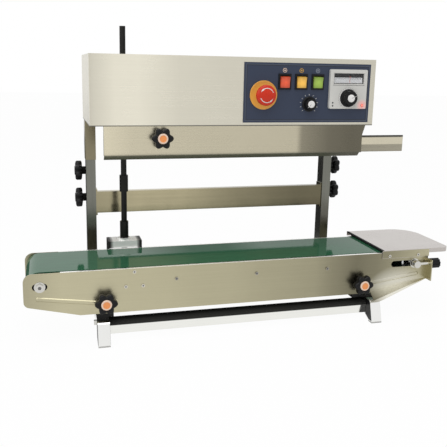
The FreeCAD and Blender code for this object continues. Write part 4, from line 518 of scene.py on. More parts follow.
@dataclass(frozen=True)
class Enamel(Finish):
    """Stoved coating with a slight peel and fine specks."""

    roughness: float = 0.3
    peel: ClassVar[Layer] = Layer(300.0, 2.0)
    peel_depth: ClassVar[float] = 0.0004
    cloud: ClassVar[Layer] = Layer(11.0, share=0.6)
    speck: ClassVar[Layer] = Layer(700.0, share=0.4)
    swing: ClassVar[float] = 0.16
    shades: ClassVar[Pair] = (0.93, 1.06)

    def inputs(self, surface: Surface) -> dict:
        """Lay out the peel, specks and soft clouding.

        Args:
            surface: The material's tree.

        Returns:
            What feeds the shader, by socket.
        """
        cloud = surface.noise(self.cloud)
        tone = cloud * self.cloud.share + surface.specks(self.speck.scale) * self.speck.share
        return {"Base Color": surface.tones(tone, self.colour, *self.shades),
                "Roughness": self.roughness + (cloud - 0.5) * self.swing, "Specular IOR Level": 0.25,
                "Normal": surface.bump(surface.noise(self.peel), 0.05, self.peel_depth)}


@dataclass(frozen=True)
class LitLens(Finish):
    """Tinted switch lens with a lamp behind its middle."""

    glow: Colour = WHITE
    strength: float = 0.6
    node: str = "power_rocker"
    reach: float = 0.016
    cloud: ClassVar[Layer] = Layer(140.0, 2.0)
    rib_scale: ClassVar[float] = 260.0
    rib_depth: ClassVar[float] = 0.0003
    shades: ClassVar[Pair] = (0.45, 1.15)
    glow_shades: ClassVar[Pair] = (0.12, 1.0)

    def inputs(self, surface: Surface) -> dict:
        """Lay out a glow that falls off from the middle of a ribbed lens.

        Args:
            surface: The material's tree.

        Returns:
            What feeds the shader, by socket.
        """
        cloud = surface.noise(self.cloud)
        # Painted lamp light: the lens's colour lighter in the middle and darker at its edges, beside the
        # lamp's glow
        lamp = 1.1 - surface.distance(middle_of(self.node)) / self.reach + (cloud - 0.5) * 0.4
        return {"Base Color": surface.tones(lamp, self.colour, *self.shades), "Roughness": 0.16 + cloud * 0.1,
                "Emission Color": surface.tones(lamp, self.glow, *self.glow_shades),
                "Emission Strength": self.strength,
                "Normal": surface.bump(surface.waves(self.rib_scale), 0.06, self.rib_depth)}


@dataclass(frozen=True)
class CoatedCloth(Finish):
    """Coated glass cloth of the sealing bands."""

    weave_scale: ClassVar[float] = 420.0
    weave_depth: ClassVar[float] = 0.0003
    stain: ClassVar[Layer] = Layer(30.0)
    shades: ClassVar[Pair] = (0.7, 1.25)

    def inputs(self, surface: Surface) -> dict:
        """Lay out a plain weave under a stained coating.

        Args:
            surface: The material's tree.

        Returns:
            What feeds the shader, by socket.
        """
        weave = surface.waves(self.weave_scale) * surface.waves(self.weave_scale, (0.0, math.pi / 2, 0.0))
        stain = surface.noise(self.stain)
        return {"Base Color": surface.tones(weave * 0.5 + stain * 0.5, self.colour, *self.shades),
                "Roughness": 0.4 + stain * 0.15, "Normal": surface.bump(weave, 0.2, self.weave_depth)}


@dataclass(frozen=True)
class ClearPane(Finish):
    """Clear plastic pane with faint haze."""

    haze: ClassVar[Layer] = Layer(90.0, 5.0)

    def inputs(self, surface: Surface) -> dict:
        """Lay out the haze.

        Args:
            surface: The material's tree.

        Returns:
            What feeds the shader, by socket.
        """
        haze = surface.noise(self.haze)
        return {"Base Color": surface.tones(haze, self.colour, 0.97, 1.0), "Roughness": 0.02 + haze * 0.05,
                "Transmission Weight": 1.0, "IOR": 1.3}


@dataclass(frozen=True)
class Ink(Finish):
    """Screen-printed ink with slightly uneven cover."""

    cover: ClassVar[Layer] = Layer(600.0, 2.0)

    def inputs(self, surface: Surface) -> dict:
        """Thin patches in the print."""
        cover = surface.noise(self.cover)
        return {"Base Color": surface.tones(cover, self.colour, 0.85, 1.0), "Roughness": 0.45 + cover * 0.15}


# Painted reflection: brightness of each sheet along the machine's length, for the room's light and dark
# mirrored in it; the head's bright left wall is a painted highlight
HEAD_PAINTED_LIGHT = ((0.1475, 1.4), (0.1485, 0.9), (0.153, 1.0), (0.2, 1.24), (0.25, 1.26), (0.34, 1.06),
              (0.45, 1.0), (0.82, 0.9))
GUARD_PAINTED_LIGHT = ((0.18, 1.3), (0.24, 1.1), (0.4, 1.0), (0.619, 0.95), (0.632, 0.5), (0.7, 0.3),
               (0.76, 0.25), (0.86, 0.28))
PLATE_PAINTED_LIGHT = ((0.0, 0.84), (0.08, 1.06), (0.3, 0.98), (0.45, 0.88), (0.65, 0.7),
               (0.69, 0.55), (0.755, 0.38), (0.81, 0.47), (0.87, 0.68), (0.95, 1.0))
# Painted shade: the gear bracket's ends near black, its middle bright
BRIDGE_PAINTED_SHADE = ((0.1925, 0.04), (0.198, 0.05), (0.201, 1.0), (0.259, 1.0), (0.263, 0.05), (0.269, 0.04))
# Painted shade by height: seam under the head, guard's lip, guide's lower half and top edge, rail's top
HEAD_SHADOWS = ((1.2, 0.85), (2.2, 0.0))
GUARD_SHADOWS = ((0.0, 1.0), (4.0, 0.95), (8.0, 0.8), (10.5, 0.12), (14.0, 0.0))
GUIDE_SHADOWS = ((1.0, 0.5), (2.5, 0.38), (14.0, 0.42), (16.5, 0.0), (29.5, 0.0), (31.0, 0.9), (36.0, 0.95))
RAIL_SHADOWS = ((15.8, 0.0), (16.5, 0.97))
# Painted shade: the plates' screws darker along the middle of the run, with the plates' painted reflection
SCREW_PAINTED_SHADE = ((0.3, 1.0), (0.32, 0.55), (0.72, 0.5), (0.74, 1.0))
BAR_PAINTED_LIGHT = ((0.18, 1.05), (0.28, 1.3), (0.4, 1.24), (0.52, 0.76), (0.7, 0.45))
HEAD_SHEET = BrushedSheet("head_sheet", (0.66, 0.63, 0.53), Grain.ALONG_X, 0.3, 0.06, HEAD_PAINTED_LIGHT,
                          "head_housing", HEAD_SHADOWS)
# The plate's glint is a painted highlight on its lower right end
PLATE_SHEET = BrushedSheet("conveyor_sheet", (0.49, 0.455, 0.31), Grain.ALONG_X, 0.32, 0.1, PLATE_PAINTED_LIGHT,
                           glint=(0.315, -0.15, 0.025))
# The guard's last colour is the dark colour of its painted shade
GUARD_SHEET = BrushedSheet("guard_sheet", (0.55, 0.505, 0.38), Grain.ALONG_X, 0.26, 0.08, GUARD_PAINTED_LIGHT,
                           "guard_cover", GUARD_SHADOWS, (0.09, 0.088, 0.062))
POST_SHEET = BrushedSheet("post_sheet", (0.18, 0.182, 0.157), Grain.ALONG_Z, 0.2, 0.2)
SLIDE_SHEET = BrushedSheet("slide_sheet", (0.24, 0.212, 0.14), Grain.ALONG_Z, 0.24, 0.14)
BAR_SHEET = BrushedSheet("bar_sheet", (0.33, 0.295, 0.19), Grain.ALONG_X, 0.16, 0.12, BAR_PAINTED_LIGHT)
GUIDE_SHEET = BrushedSheet("guide_sheet", (0.6, 0.555, 0.43), Grain.ALONG_X, 0.22, 0.14, node="infeed_guide",
                           shadows=GUIDE_SHADOWS)
TABLE_SHEET = BrushedSheet("table_sheet", (0.51, 0.478, 0.452), Grain.ALONG_X, 0.24, 0.06)
# Bright sheet of the painted highlights on the plates' hems
HEM_HIGHLIGHT = BrushedSheet("hem_painted_highlight", (0.86, 0.86, 0.83), Grain.ALONG_X, 0.2, 0.04)
RAIL_SHEET = BrushedSheet("rail_sheet", (0.84, 0.84, 0.8), Grain.ALONG_X, 0.09, 0.05, node="base_rails",
                          shadows=RAIL_SHADOWS, shadow_colour=(0.006, 0.006, 0.005), sheen=0.0)
LEG_SHEET = BrushedSheet("leg_sheet", (0.82, 0.82, 0.8), Grain.ALONG_Y, 0.09, 0.05)
BRIDGE_CHROME = BrushedSheet("bridge_chrome", (0.9, 0.9, 0.88), Grain.ALONG_X, 0.48, 0.1, BRIDGE_PAINTED_SHADE)
SHAFT_STEEL = BareMetal("shaft_steel", (0.02, 0.02, 0.019), 0.3, contrast=0.3)
GEAR_STEEL = BareMetal("gear_steel", (0.16, 0.155, 0.15), 0.3, contrast=0.2)
ZINC = BareMetal("zinc_plate", (0.62, 0.61, 0.57), 0.22, contrast=0.16)
PLATE_SCREWS = BrushedSheet("plate_screws", (0.62, 0.6, 0.54), Grain.ALONG_X, 0.24, 0.12, SCREW_PAINTED_SHADE)
ALUMINIUM = BareMetal("turned_aluminium", (0.6, 0.61, 0.62), 0.28, contrast=0.1)
BELT_GLOSS = ((0.1, 0.72), (0.26, 0.75), (0.38, 0.25), (0.47, 0.25), (0.56, 0.6), (0.72, 0.55), (0.85, 0.7))
GREEN_BELT = Belting("green_belting", (0.032, 0.125, 0.065), BELT_GLOSS)
# Black of the clamp brackets; on the legs' sides the same material is painted shade
BLACK_AND_PAINTED_SHADE = Enamel("black_bracket_and_painted_shade", (0.006, 0.006, 0.006), 0.36)
PALE_RUBBER = Moulding("foot_rubber", (0.5, 0.5, 0.48), 0.7, 0.3)
# Dark strip along the table's edge over the belt
TABLE_EDGE_DARK = Moulding("table_edge_dark", (0.012, 0.012, 0.012), 0.6, 0.3, 0.15)
BLACK_PLASTIC = Moulding("black_plastic", (0.007, 0.007, 0.0075), 0.3, 0.14, 0.2)
GREY_PLASTIC = Moulding("grey_plastic", (0.64, 0.63, 0.6), 0.4, 0.1)
CONTROLLER_GREY = LampLitMoulding("controller_grey", (0.66, 0.655, 0.62))
PALE_PLASTIC = Moulding("pale_plastic", (0.86, 0.85, 0.83), 0.32, 0.08)
YELLOW_PLASTIC = Moulding("yellow_plastic", (0.84, 0.42, 0.075), 0.32, 0.08)
RED_PLASTIC = Moulding("red_plastic", (0.62, 0.032, 0.01), 0.26, 0.08, 0.25)
ORANGE_PLASTIC = Moulding("orange_plastic", (0.95, 0.34, 0.11), 0.4, 0.1)
PALE_ORANGE = Moulding("pale_orange_plastic", (0.88, 0.66, 0.52), 0.42, 0.1)
NYLON = Moulding("gear_nylon", (0.62, 0.58, 0.46), 0.42, 0.1)
PANEL_BLUE = PanelFilm("panel_film", (0.036, 0.048, 0.083))
RED_LENS = LitLens("red_lens", (0.6, 0.07, 0.025), (1.0, 0.14, 0.05), 0.42, "power_rocker")
AMBER_LENS = LitLens("amber_lens", (0.8, 0.46, 0.08), (1.0, 0.55, 0.08), 0.42, "heat_rocker")
GREEN_LENS = LitLens("green_lens", (0.26, 0.4, 0.06), (0.4, 0.56, 0.08), 0.4, "fan_rocker")
LAMP_RED = LitLens("lamp_red", (0.9, 0.1, 0.08), (1.0, 0.22, 0.16), 1.6, "temperature_controller", 0.2)
BAND_CLOTH = CoatedCloth("band_cloth", (0.2, 0.1, 0.045))
PANE = ClearPane("clear_pane", (0.95, 0.96, 0.96))
SCALE_WHITE = Ink("scale_white", (0.95, 0.94, 0.96))
WHITE_INK = Ink("white_ink", (0.8, 0.8, 0.78))
PALE_INK = Ink("pale_ink", (0.3, 0.33, 0.39))
BORDER_INK = Ink("border_ink", (0.085, 0.105, 0.145))
# Dark print; the same material is painted shade in screw recesses and axle sockets
DARK_INK_AND_SHADE = Ink("dark_ink_and_painted_shade", (0.012, 0.014, 0.022))
AMBER_INK = Ink("amber_ink", (0.75, 0.42, 0.06))
RED_INK = Ink("red_ink", (0.7, 0.06, 0.03))


class Facing(Enum):
    """Ways in which a turned piece can face."""

    FRONT = (0.0, -1.0, 0.0)
    REAR = (0.0, 1.0, 0.0)
    LEFT = (-1.0, 0.0, 0.0)
    RIGHT = (1.0, 0.0, 0.0)

    def placing(self, seat: Vector) -> Matrix:
        """Place local Z along this way.

        Args:
            seat: Where the local origin goes.

        Returns:
            The matrix from the local frame to the scene's.
        """
        out = Vector(self.value)
        across = Vector((1, 0, 0)) if self in (Facing.FRONT, Facing.REAR) else Vector((0, 0, 1))
        turn = Matrix((across, out.cross(across), out)).transposed()
        return Matrix.Translation(seat) @ turn.to_4x4()


def on_front(node: str, depth: float) -> Matrix:
    """Front-facing place in line with a node's middle, at a depth in metres."""
    middle = middle_of(node)
    return Facing.FRONT.placing(Vector((middle.x, depth, middle.z)))


def moved(place: Matrix, x: float, y: float, z: float = 0.0) -> Matrix:
    """A place moved along its own axes, in millimetres."""
    return place @ Matrix.Translation(Vector((x, y, z)) * MM)


@dataclass(frozen=True)
class Ring:
    """One ring of a turned shape, with the finish of the band that follows it."""

    height: float
    radius: float
    finish: Finish
    lobe: float = 0.0


def band(finish: Finish, *rows: Sequence[float]) -> list[Ring]:
    """Rings of one finish, from rows of height, radius and lobe."""
    return [Ring(row[0], row[1], finish, *row[2:]) for row in rows]


class PieceMaker:
    """Collects the faces of one piece, with a finish for each."""

    def __init__(self, name: str) -> None:
        """Start an empty piece.

        Args:
            name: The piece's name.
        """
        self.name = name
        self.mesh = bmesh.new()
        self.finishes: list[Finish] = []

    def finish_index(self, finish: Finish) -> int:
        """Find a finish in this piece, or add it.

        Args:
            finish: The finish.

        Returns:
            Its number in the piece.
        """
        if finish not in self.finishes:
            self.finishes.append(finish)
        return self.finishes.index(finish)

    def turned(self, rings: Sequence[Ring], place: Matrix, lobes: int = 0, sharpness: float = 1.0,
               segments: int = 72, hollow: bool = False) -> None:
        """Add a turned shape.

        Args:
            rings: Its rings from the seat outwards, in millimetres.
            place: Matrix from the shape's own frame.
            lobes: How many lobes or flutes go round it.
            sharpness: How narrow the lobes are.
            segments: Faces round each band.
            hollow: True for a ring-shaped piece, whose last ring meets the first.
        """
        loops = []
        for ring in rings:
            loop = []
            for index in range(segments):
                angle = 2 * math.pi * index / segments
                wave = (0.5 + 0.5 * math.cos(lobes * angle)) ** sharpness
                radius = (ring.radius + ring.lobe * wave) * MM
                point = Vector((radius * math.cos(angle), radius * math.sin(angle), ring.height * MM))
                loop.append(self.mesh.verts.new(place @ point))
            loops.append(loop)
        pairs = list(zip(loops, loops[1:], rings))
        if hollow:
            pairs.append((loops[-1], loops[0], rings[-1]))
        for low, high, ring in pairs:
            self.wrap(low, high, ring.finish)
        if not hollow:
            for loop, ring in ((loops[0], rings[0]), (loops[-1], rings[-1])):
                pole = self.mesh.verts.new(place @ Vector((0, 0, ring.height * MM)))
                for index in range(segments):
                    self.face((loop[index], loop[(index + 1) % segments], pole), ring.finish)

    def face(self, corners: Sequence[bmesh.types.BMVert], finish: Finish) -> None:
        """Add one face."""
        self.mesh.faces.new(corners).material_index = self.finish_index(finish)

    def wrap(self, low: Sequence[bmesh.types.BMVert], high: Sequence[bmesh.types.BMVert],
             finish: Finish) -> None:
        """Add the faces between two loops.

        Args:
            low: Corners of the first loop.
            high: As many corners of the second loop.
            finish: Their finish.
        """
        for index in range(len(low)):
            after = (index + 1) % len(low)
            self.face((low[index], low[after], high[after], high[index]), finish)

    def prism(self, low: Sequence[Sequence[float]], high: Sequence[Sequence[float]], place: Matrix,
              finish: Finish) -> None:
        """Add a solid between two loops of corners.

        Args:
            low: Corners of the first loop, in millimetres.
            high: As many corners of the second loop.
            place: Matrix from the solid's own frame.
            finish: Its finish.
        """
        loops = [[self.mesh.verts.new(place @ (Vector(corner) * MM)) for corner in loop]
                 for loop in (low, high)]
        self.face(loops[0][::-1], finish)
        self.face(loops[1], finish)
        self.wrap(loops[0], loops[1], finish)

    def bar(self, low: Sequence[float], high: Sequence[float], place: Matrix, finish: Finish,
            taper: float = 0.0) -> None:
        """Add a straight bar, drawn in at its top.

        Args:
            low: Lowest corner, in millimetres.
            high: Highest corner.
            place: Matrix from the bar's own frame.
            finish: Its finish.
            taper: How much each side of the top is drawn in.
        """
        loops = []
        for z, inset in ((low[2], 0.0), (high[2], taper)):
            left, right = low[0] + inset, high[0] - inset
            near, far = low[1] + inset, high[1] - inset
            loops.append(((left, near, z), (right, near, z), (right, far, z), (left, far, z)))
        self.prism(*loops, place, finish)

    def piece(self, body: str, replaced: Sequence[str] = (), crease: float = 38.0) -> None:
        """Finish the piece and hang it on its body.

        Args:
            body: The body that it rides on.
            replaced: CAD nodes that it stands for.
            crease: Edges sharper than this stay hard, in degrees.
        """
        bmesh.ops.remove_doubles(self.mesh, verts=self.mesh.verts, dist=SAME_POINT)
        bmesh.ops.recalc_face_normals(self.mesh, faces=self.mesh.faces)
        data = bpy.data.meshes.new(self.name)
        self.mesh.to_mesh(data)
        self.mesh.free()
        for finish in self.finishes:
            data.materials.append(finish.material())
        data.shade_smooth()
        data.set_sharp_from_angle(angle=math.radians(crease))
        hang(bpy.data.objects.new(self.name, data), body, replaced)


def hang(thing: bpy.types.Object, body: str, replaced: Sequence[str] = ()) -> None:
    """Put a finished object into the scene, on its body.

    Args:
        thing: The object, with its place in its mesh.
        body: The body that it rides on.
        replaced: CAD nodes that it stands for.
    """
    if thing.name not in bpy.context.scene.collection.objects:
        bpy.context.scene.collection.objects.link(thing)
    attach(thing, body)
    if replaced:
        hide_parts(*replaced)
    LOG.info("piece %s on %s, %d faces", thing.name, body, len(thing.data.polygons))


class Motif(Enum):
    """What a pattern repeats."""

    BAR = "bar"
    HOOD = "hood"
    CROSS = "cross"


class PatternTree(NodeSheet):
    """A geometry tree that repeats a motif, with its sizes as named inputs."""

    SIZES: ClassVar[tuple[str, ...]] = ("Length", "Width", "Height", "Radius", "Pitch", "Start", "Step")
    BALL: ClassVar[dict[str, float]] = {"Segments": 18, "Rings": 10, "Radius": 1.0}

    def __init__(self, motif: Motif) -> None:
        """Build the tree for one motif.

        Args:
            motif: The shape that is repeated.
        """
        tree = bpy.data.node_groups.new("repeat_" + motif.value, "GeometryNodeTree")
        super().__init__(tree)
        face = tree.interface
        face.new_socket(name="Points", in_out="INPUT", socket_type="NodeSocketGeometry")
        face.new_socket(name="Count", in_out="INPUT", socket_type="NodeSocketInt")
        for name in self.SIZES:
            face.new_socket(name=name, in_out="INPUT", socket_type="NodeSocketFloat")
        face.new_socket(name="Finish", in_out="INPUT", socket_type="NodeSocketMaterial")
        face.new_socket(name="Pieces", in_out="OUTPUT", socket_type="NodeSocketGeometry")
        self.given = self.add("NodeGroupInput").outputs
        self.index = Value(self, self.add("GeometryNodeInputIndex").outputs[0])
        shape = self.shape(motif)
        points = self.given["Points"] if motif is Motif.CROSS else self.line()
        turn = self.vector(0.0, 0.0, self.size("Start") + self.index * self.size("Step"))
        copies = self.add("GeometryNodeInstanceOnPoints", None,
                          {"Points": points, "Instance": shape, "Rotation": turn})
        real = self.add("GeometryNodeRealizeInstances", None, {0: copies.outputs[0]})
        dressed = self.add("GeometryNodeSetMaterial", None,
                           {"Geometry": real.outputs[0], "Material": self.given["Finish"]})
        self.add("NodeGroupOutput", None, {"Pieces": dressed.outputs[0]})

    def size(self, name: str) -> Value:
        """One of the named sizes."""
        return Value(self, self.given[name])

    def vector(self, x: object, y: object, z: object) -> bpy.types.NodeSocket:
        """A vector of three values."""
        return self.add("ShaderNodeCombineXYZ", None, {0: x, 1: y, 2: z}).outputs[0]

    def line(self) -> bpy.types.NodeSocket:
        """Points in a row, or all in one place where the pitch is nothing."""
        inputs = {"Count": self.given["Count"], "Offset": self.vector(self.size("Pitch"), 0.0, 0.0)}
        return self.add("GeometryNodeMeshLine", {"mode": "OFFSET"}, inputs).outputs[0]

    def block(self, x: Value, y: Value, z: Value) -> bpy.types.NodeSocket:
        """A straight block."""
        return self.add("GeometryNodeMeshCube", None, {"Size": self.vector(x, y, z)}).outputs[0]

    def shape(self, motif: Motif) -> bpy.types.NodeSocket:
        """Make the repeated shape; a bar is moved out by the radius.

        Args:
            motif: The kind of shape.

        Returns:
            Its geometry.
        """
        length, width, height = (self.size(name) for name in ("Length", "Width", "Height"))
        if motif is Motif.HOOD:
            ball = self.add("GeometryNodeMeshUVSphere", None, self.BALL)
            scaled = self.vector(width * 0.5, height, length * 0.5)
            return self.add("GeometryNodeTransform", None, {0: ball.outputs[0], "Scale": scaled}).outputs[0]
        if motif is Motif.CROSS:
            join = self.add("GeometryNodeJoinGeometry")
            self.feed(join.inputs[0], self.block(length, width, height))
            self.feed(join.inputs[0], self.block(width, length, height))
            return join.outputs[0]
        reach = self.vector(self.size("Radius"), 0.0, 0.0)
        bar = self.block(length, width, height)
        return self.add("GeometryNodeTransform", None, {0: bar, "Translation": reach}).outputs[0]


@dataclass
class Repeated:
    """A run of equal small shapes that becomes one plain mesh."""

    trees: ClassVar[dict[Motif, PatternTree]] = {}
    name: str
    motif: Motif
    finish: Finish
    count: int = 1
    length: float = 1.0
    width: float = 1.0
    height: float = 1.0
    radius: float = 0.0
    pitch: float = 0.0
    start: float = 0.0
    step: float = 0.0

    def make(self, place: Matrix, points: Sequence[Vector] = ()) -> bpy.types.Object:
        """Evaluate the pattern and keep its mesh.

        Args:
            place: Matrix from the pattern's own frame.
            points: Where the copies go, in the pattern's own frame, for a motif that is set on points.

        Returns:
            An object with a plain mesh.
        """
        if self.motif not in Repeated.trees:
            Repeated.trees[self.motif] = PatternTree(self.motif)
        tree = Repeated.trees[self.motif].tree
        data = bpy.data.meshes.new(self.name)
        data.from_pydata([tuple(point) for point in points], [], [])
        thing = bpy.data.objects.new(self.name, data)
        bpy.context.scene.collection.objects.link(thing)
        modifier = thing.modifiers.new("pattern", "NODES")
        modifier.node_group = tree
        values = {"Count": self.count, "Length": self.length * MM, "Width": self.width * MM,
                  "Height": self.height * MM, "Radius": self.radius * MM, "Pitch": self.pitch * MM,
                  "Start": self.start, "Step": self.step, "Finish": self.finish.material()}
        for item in tree.interface.items_tree:
            if item.in_out == "INPUT" and item.name in values:
                modifier[item.identifier] = values[item.name]
        graph = bpy.context.evaluated_depsgraph_get()
        mesh = bpy.data.meshes.new_from_object(thing.evaluated_get(graph), depsgraph=graph)
        thing.modifiers.clear()
        thing.data = mesh
        mesh.name = self.name
        mesh.transform(place)
        if self.motif is Motif.HOOD:
            mesh.shade_smooth()
        return thing


def dress(finish: Finish, *nodes: str) -> None:
    """Give CAD nodes a finish.

    Args:
        finish: The finish.
        nodes: Names of the nodes.
    """
    for name in nodes:
        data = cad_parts[name].data
        data.materials.clear()
        data.materials.append(finish.material())
        LOG.info("node %s in %s", name, finish.name)


def island_boxes(node: str) -> list[tuple[Vector, Vector]]:
    """Boxes of the separate solids of a CAD node.

    Args:
        node: The node's name.

    Returns:
        Lowest and highest corner of each solid.
    """
    copy = bmesh.new()
    copy.from_mesh(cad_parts[node].data)
    bmesh.ops.remove_doubles(copy, verts=copy.verts, dist=ISLAND_GAP)
    left = set(copy.verts)
    boxes = []
    while left:
        queue = [left.pop()]
        points = []
        while queue:
            vert = queue.pop()
            points.append(vert.co.copy())
            for edge in vert.link_edges:
                other = edge.other_vert(vert)
                if other in left:
                    left.remove(other)
                    queue.append(other)
        boxes.append((Vector(map(min, *points)), Vector(map(max, *points))))
    copy.free()
    return sorted(boxes, key=lambda box: tuple(round(value, 5) for value in box[0]))


@dataclass
class BaseFrame:
    """Legs, rails, brackets, posts and cross bar."""

    # Thickness and outline of the painted shade on the legs' sides, in millimetres
    shade_sheet: float = 0.35
    shade_sheet_outline: tuple[Pair, ...] = (
        (1.7, 1.2), (11.0, 33.0), (15.0, 38.3), (27.4, 39.4), (27.4, 7.9), (13.4, 1.4))

    def dress(self) -> None:
        """Give the base its finishes."""
        dress(LEG_SHEET, "legs")
        dress(BLACK_AND_PAINTED_SHADE, "clamp_brackets")
        dress(RAIL_SHEET, "base_rails")
        dress(PALE_RUBBER, "rubber_feet")
        dress(POST_SHEET, "posts")
        dress(BAR_SHEET, "cross_bar")
        dress(ZINC, "frame_bolts")

    def build(self) -> None:
        """Painted shade: dark sheets on the sides of the legs' ends."""
        maker = PieceMaker("leg_side_painted_shade")
        inner, outer = ([(*corner, height) for corner in self.shade_sheet_outline] for height in (0.0, self.shade_sheet))
        for low, high in island_boxes("legs"):
            for edge, lean in ((low.y, 1), (high.y, -1)):
                for x in (low.x - self.shade_sheet * MM, high.x):
                    place = Matrix(((0, 0, 1, x), (lean, 0, 0, edge), (0, 1, 0, low.z), (0, 0, 0, 1)))
                    # Painted shade: a dark sheet on each side of each leg end
                    maker.prism(inner, outer, place, BLACK_AND_PAINTED_SHADE)
        maker.piece("base")


@dataclass
class Conveyor:
    """Side plates, belt, rollers, table and drive."""

    screw_width: float = 6.4
    screw_slack: float = 0.3
    socket: float = 3.4
    hem_start: float = 65.0
    hem_width: float = 5.5
    hem_rise: float = 0.5
    hem_inset: float = 0.1
    hem_gap: float = 0.8
    strip_width: float = 4.0
    strip_rise: float = 0.5
    depth: float = 140.0
    sheet: float = 2.0
    flange: float = 16.6
    flange_length: float = 108.4

    def dress(self) -> None:
        """Give the conveyor its finishes."""
        dress(PLATE_SHEET, "front_side_plate", "rear_side_plate", "slider_bed")
        dress(GREEN_BELT, "conveyor_belt")
        dress(TABLE_SHEET, "work_table")
        dress(ALUMINIUM, "tail_roller", "idler_roller", "drive_roller")
        dress(ZINC, "spreader_tubes", "tail_axle", "tension_axle", "drive_bearings")
        dress(PLATE_SCREWS, "conveyor_fasteners")
        dress(GEAR_STEEL, "bevel_gear", "bevel_pinion")
        dress(SHAFT_STEEL, "drive_shaft")
        dress(BRIDGE_CHROME, "gear_bracket")
        dress(BLACK_PLASTIC, "front_tension_knob", "rear_tension_knob")

    def build(self) -> None:
        """Lay painted highlights on the hems, edge the table, and paint shade on its flange, screw heads and
        axle ends.
        """
        self.build_hems()
        self.build_edge_strip()
        self.build_recesses()
        self.build_axle_ends()

    def build_axle_ends(self) -> None:
        """Hexagon sockets in the ends of the tail axle, with painted shade round their walls."""
        low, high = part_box("tail_axle")
        middle = middle_of("tail_axle")
        # Painted shade: a dark rim round each socket
        rings = band(DARK_INK_AND_SHADE, (-0.1, self.socket), (0.1, self.socket))
        rings += band(GEAR_STEEL, (0.12, self.socket - 0.3), (0.05, self.socket * 0.5))
        maker = PieceMaker("tail_axle_sockets")
        for facing, y in ((Facing.FRONT, low.y), (Facing.REAR, high.y)):
            maker.turned(rings, facing.placing(Vector((middle.x, y, middle.z))), segments=6)
        maker.piece("conveyor")

    def build_hems(self) -> None:
        """Painted highlights: bright strips along the plates' folded top edges."""
        corner = self.plate_corner()
        end = (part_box("work_table")[0].x - corner.x) / MM - self.hem_gap
        width = self.hem_width - 2 * self.hem_inset
        for name, edge in (("front_hem_highlight", 0.0), ("rear_hem_highlight", self.depth - self.hem_width)):
            near = edge + self.hem_inset
            maker = PieceMaker(name)
            maker.bar((self.hem_start, near, -0.3), (end, near + width, self.hem_rise),
                      Matrix.Translation(corner), HEM_HIGHLIGHT, 0.45)
            maker.piece("conveyor")

    def plate_corner(self) -> Vector:
        """Left front top corner of the front plate's sheet, in metres."""
        low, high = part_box("front_side_plate")
        return Vector((low.x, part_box("work_table")[0].y + self.sheet * MM, high.z))

    def build_edge_strip(self) -> None:
        """Dark strip round the table's edge over the belt, and painted shade over its front flange."""
        low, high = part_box("work_table")
        corner = Vector((low.x, low.y, high.z))
        depth = (high.y - low.y) / MM
        maker = PieceMaker("table_edge_strip")
        maker.bar((-0.7, 0.4, -self.sheet - 0.2), (self.strip_width, depth - 0.4, self.strip_rise),
                  Matrix.Translation(corner), TABLE_EDGE_DARK, 0.35)
        maker.piece("conveyor")
        # Painted shade: a thin sheet in the plates' darker finish over the table's front flange
        cover = PieceMaker("flange_painted_shade")
        cover.bar((0.3, -self.flange, -0.1), (self.flange_length, -1.2, 0.35), Facing.FRONT.placing(corner),
                  PLATE_SHEET, 0.25)
        cover.piece("conveyor")

    def build_recesses(self) -> None:
        """Painted shade in the cross recesses of the plates' screw heads."""
        low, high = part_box("front_side_plate")[0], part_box("rear_side_plate")[1]
        middle = (low.y + high.y) / 2
        fronts, rears = [], []
        for corner, other in island_boxes("conveyor_fasteners"):
            size = (other - corner) / MM
            if max(abs(size.x - self.screw_width), abs(size.z - self.screw_width)) < self.screw_slack:
                centre = (corner + other) / 2
                if centre.y < middle:
                    fronts.append(Vector((centre.x, corner.y, centre.z)))
                else:
                    rears.append(Vector((centre.x, other.y, centre.z)))
        screw_crosses("front_screw_recesses", fronts, Facing.FRONT, "conveyor")
        screw_crosses("rear_screw_recesses", rears, Facing.REAR, "conveyor")


def screw_crosses(name: str, seats: Sequence[Vector], facing: Facing, body: str) -> None:
    """Paint the shade in the driver recess of a set of screw heads, as dark crosses.

    Args:
        name: Name of the piece.
        seats: Middle of each screw's outer face.
        facing: Way in which the heads face.
        body: The body that the screws are on.
    """
    place = facing.placing(Vector((0, 0, 0)))
    back = place.inverted()
    pattern = Repeated(name, Motif.CROSS, DARK_INK_AND_SHADE, len(seats), 4.0, 0.9, 0.16)
    hang(pattern.make(place, [back @ seat for seat in seats]), body)


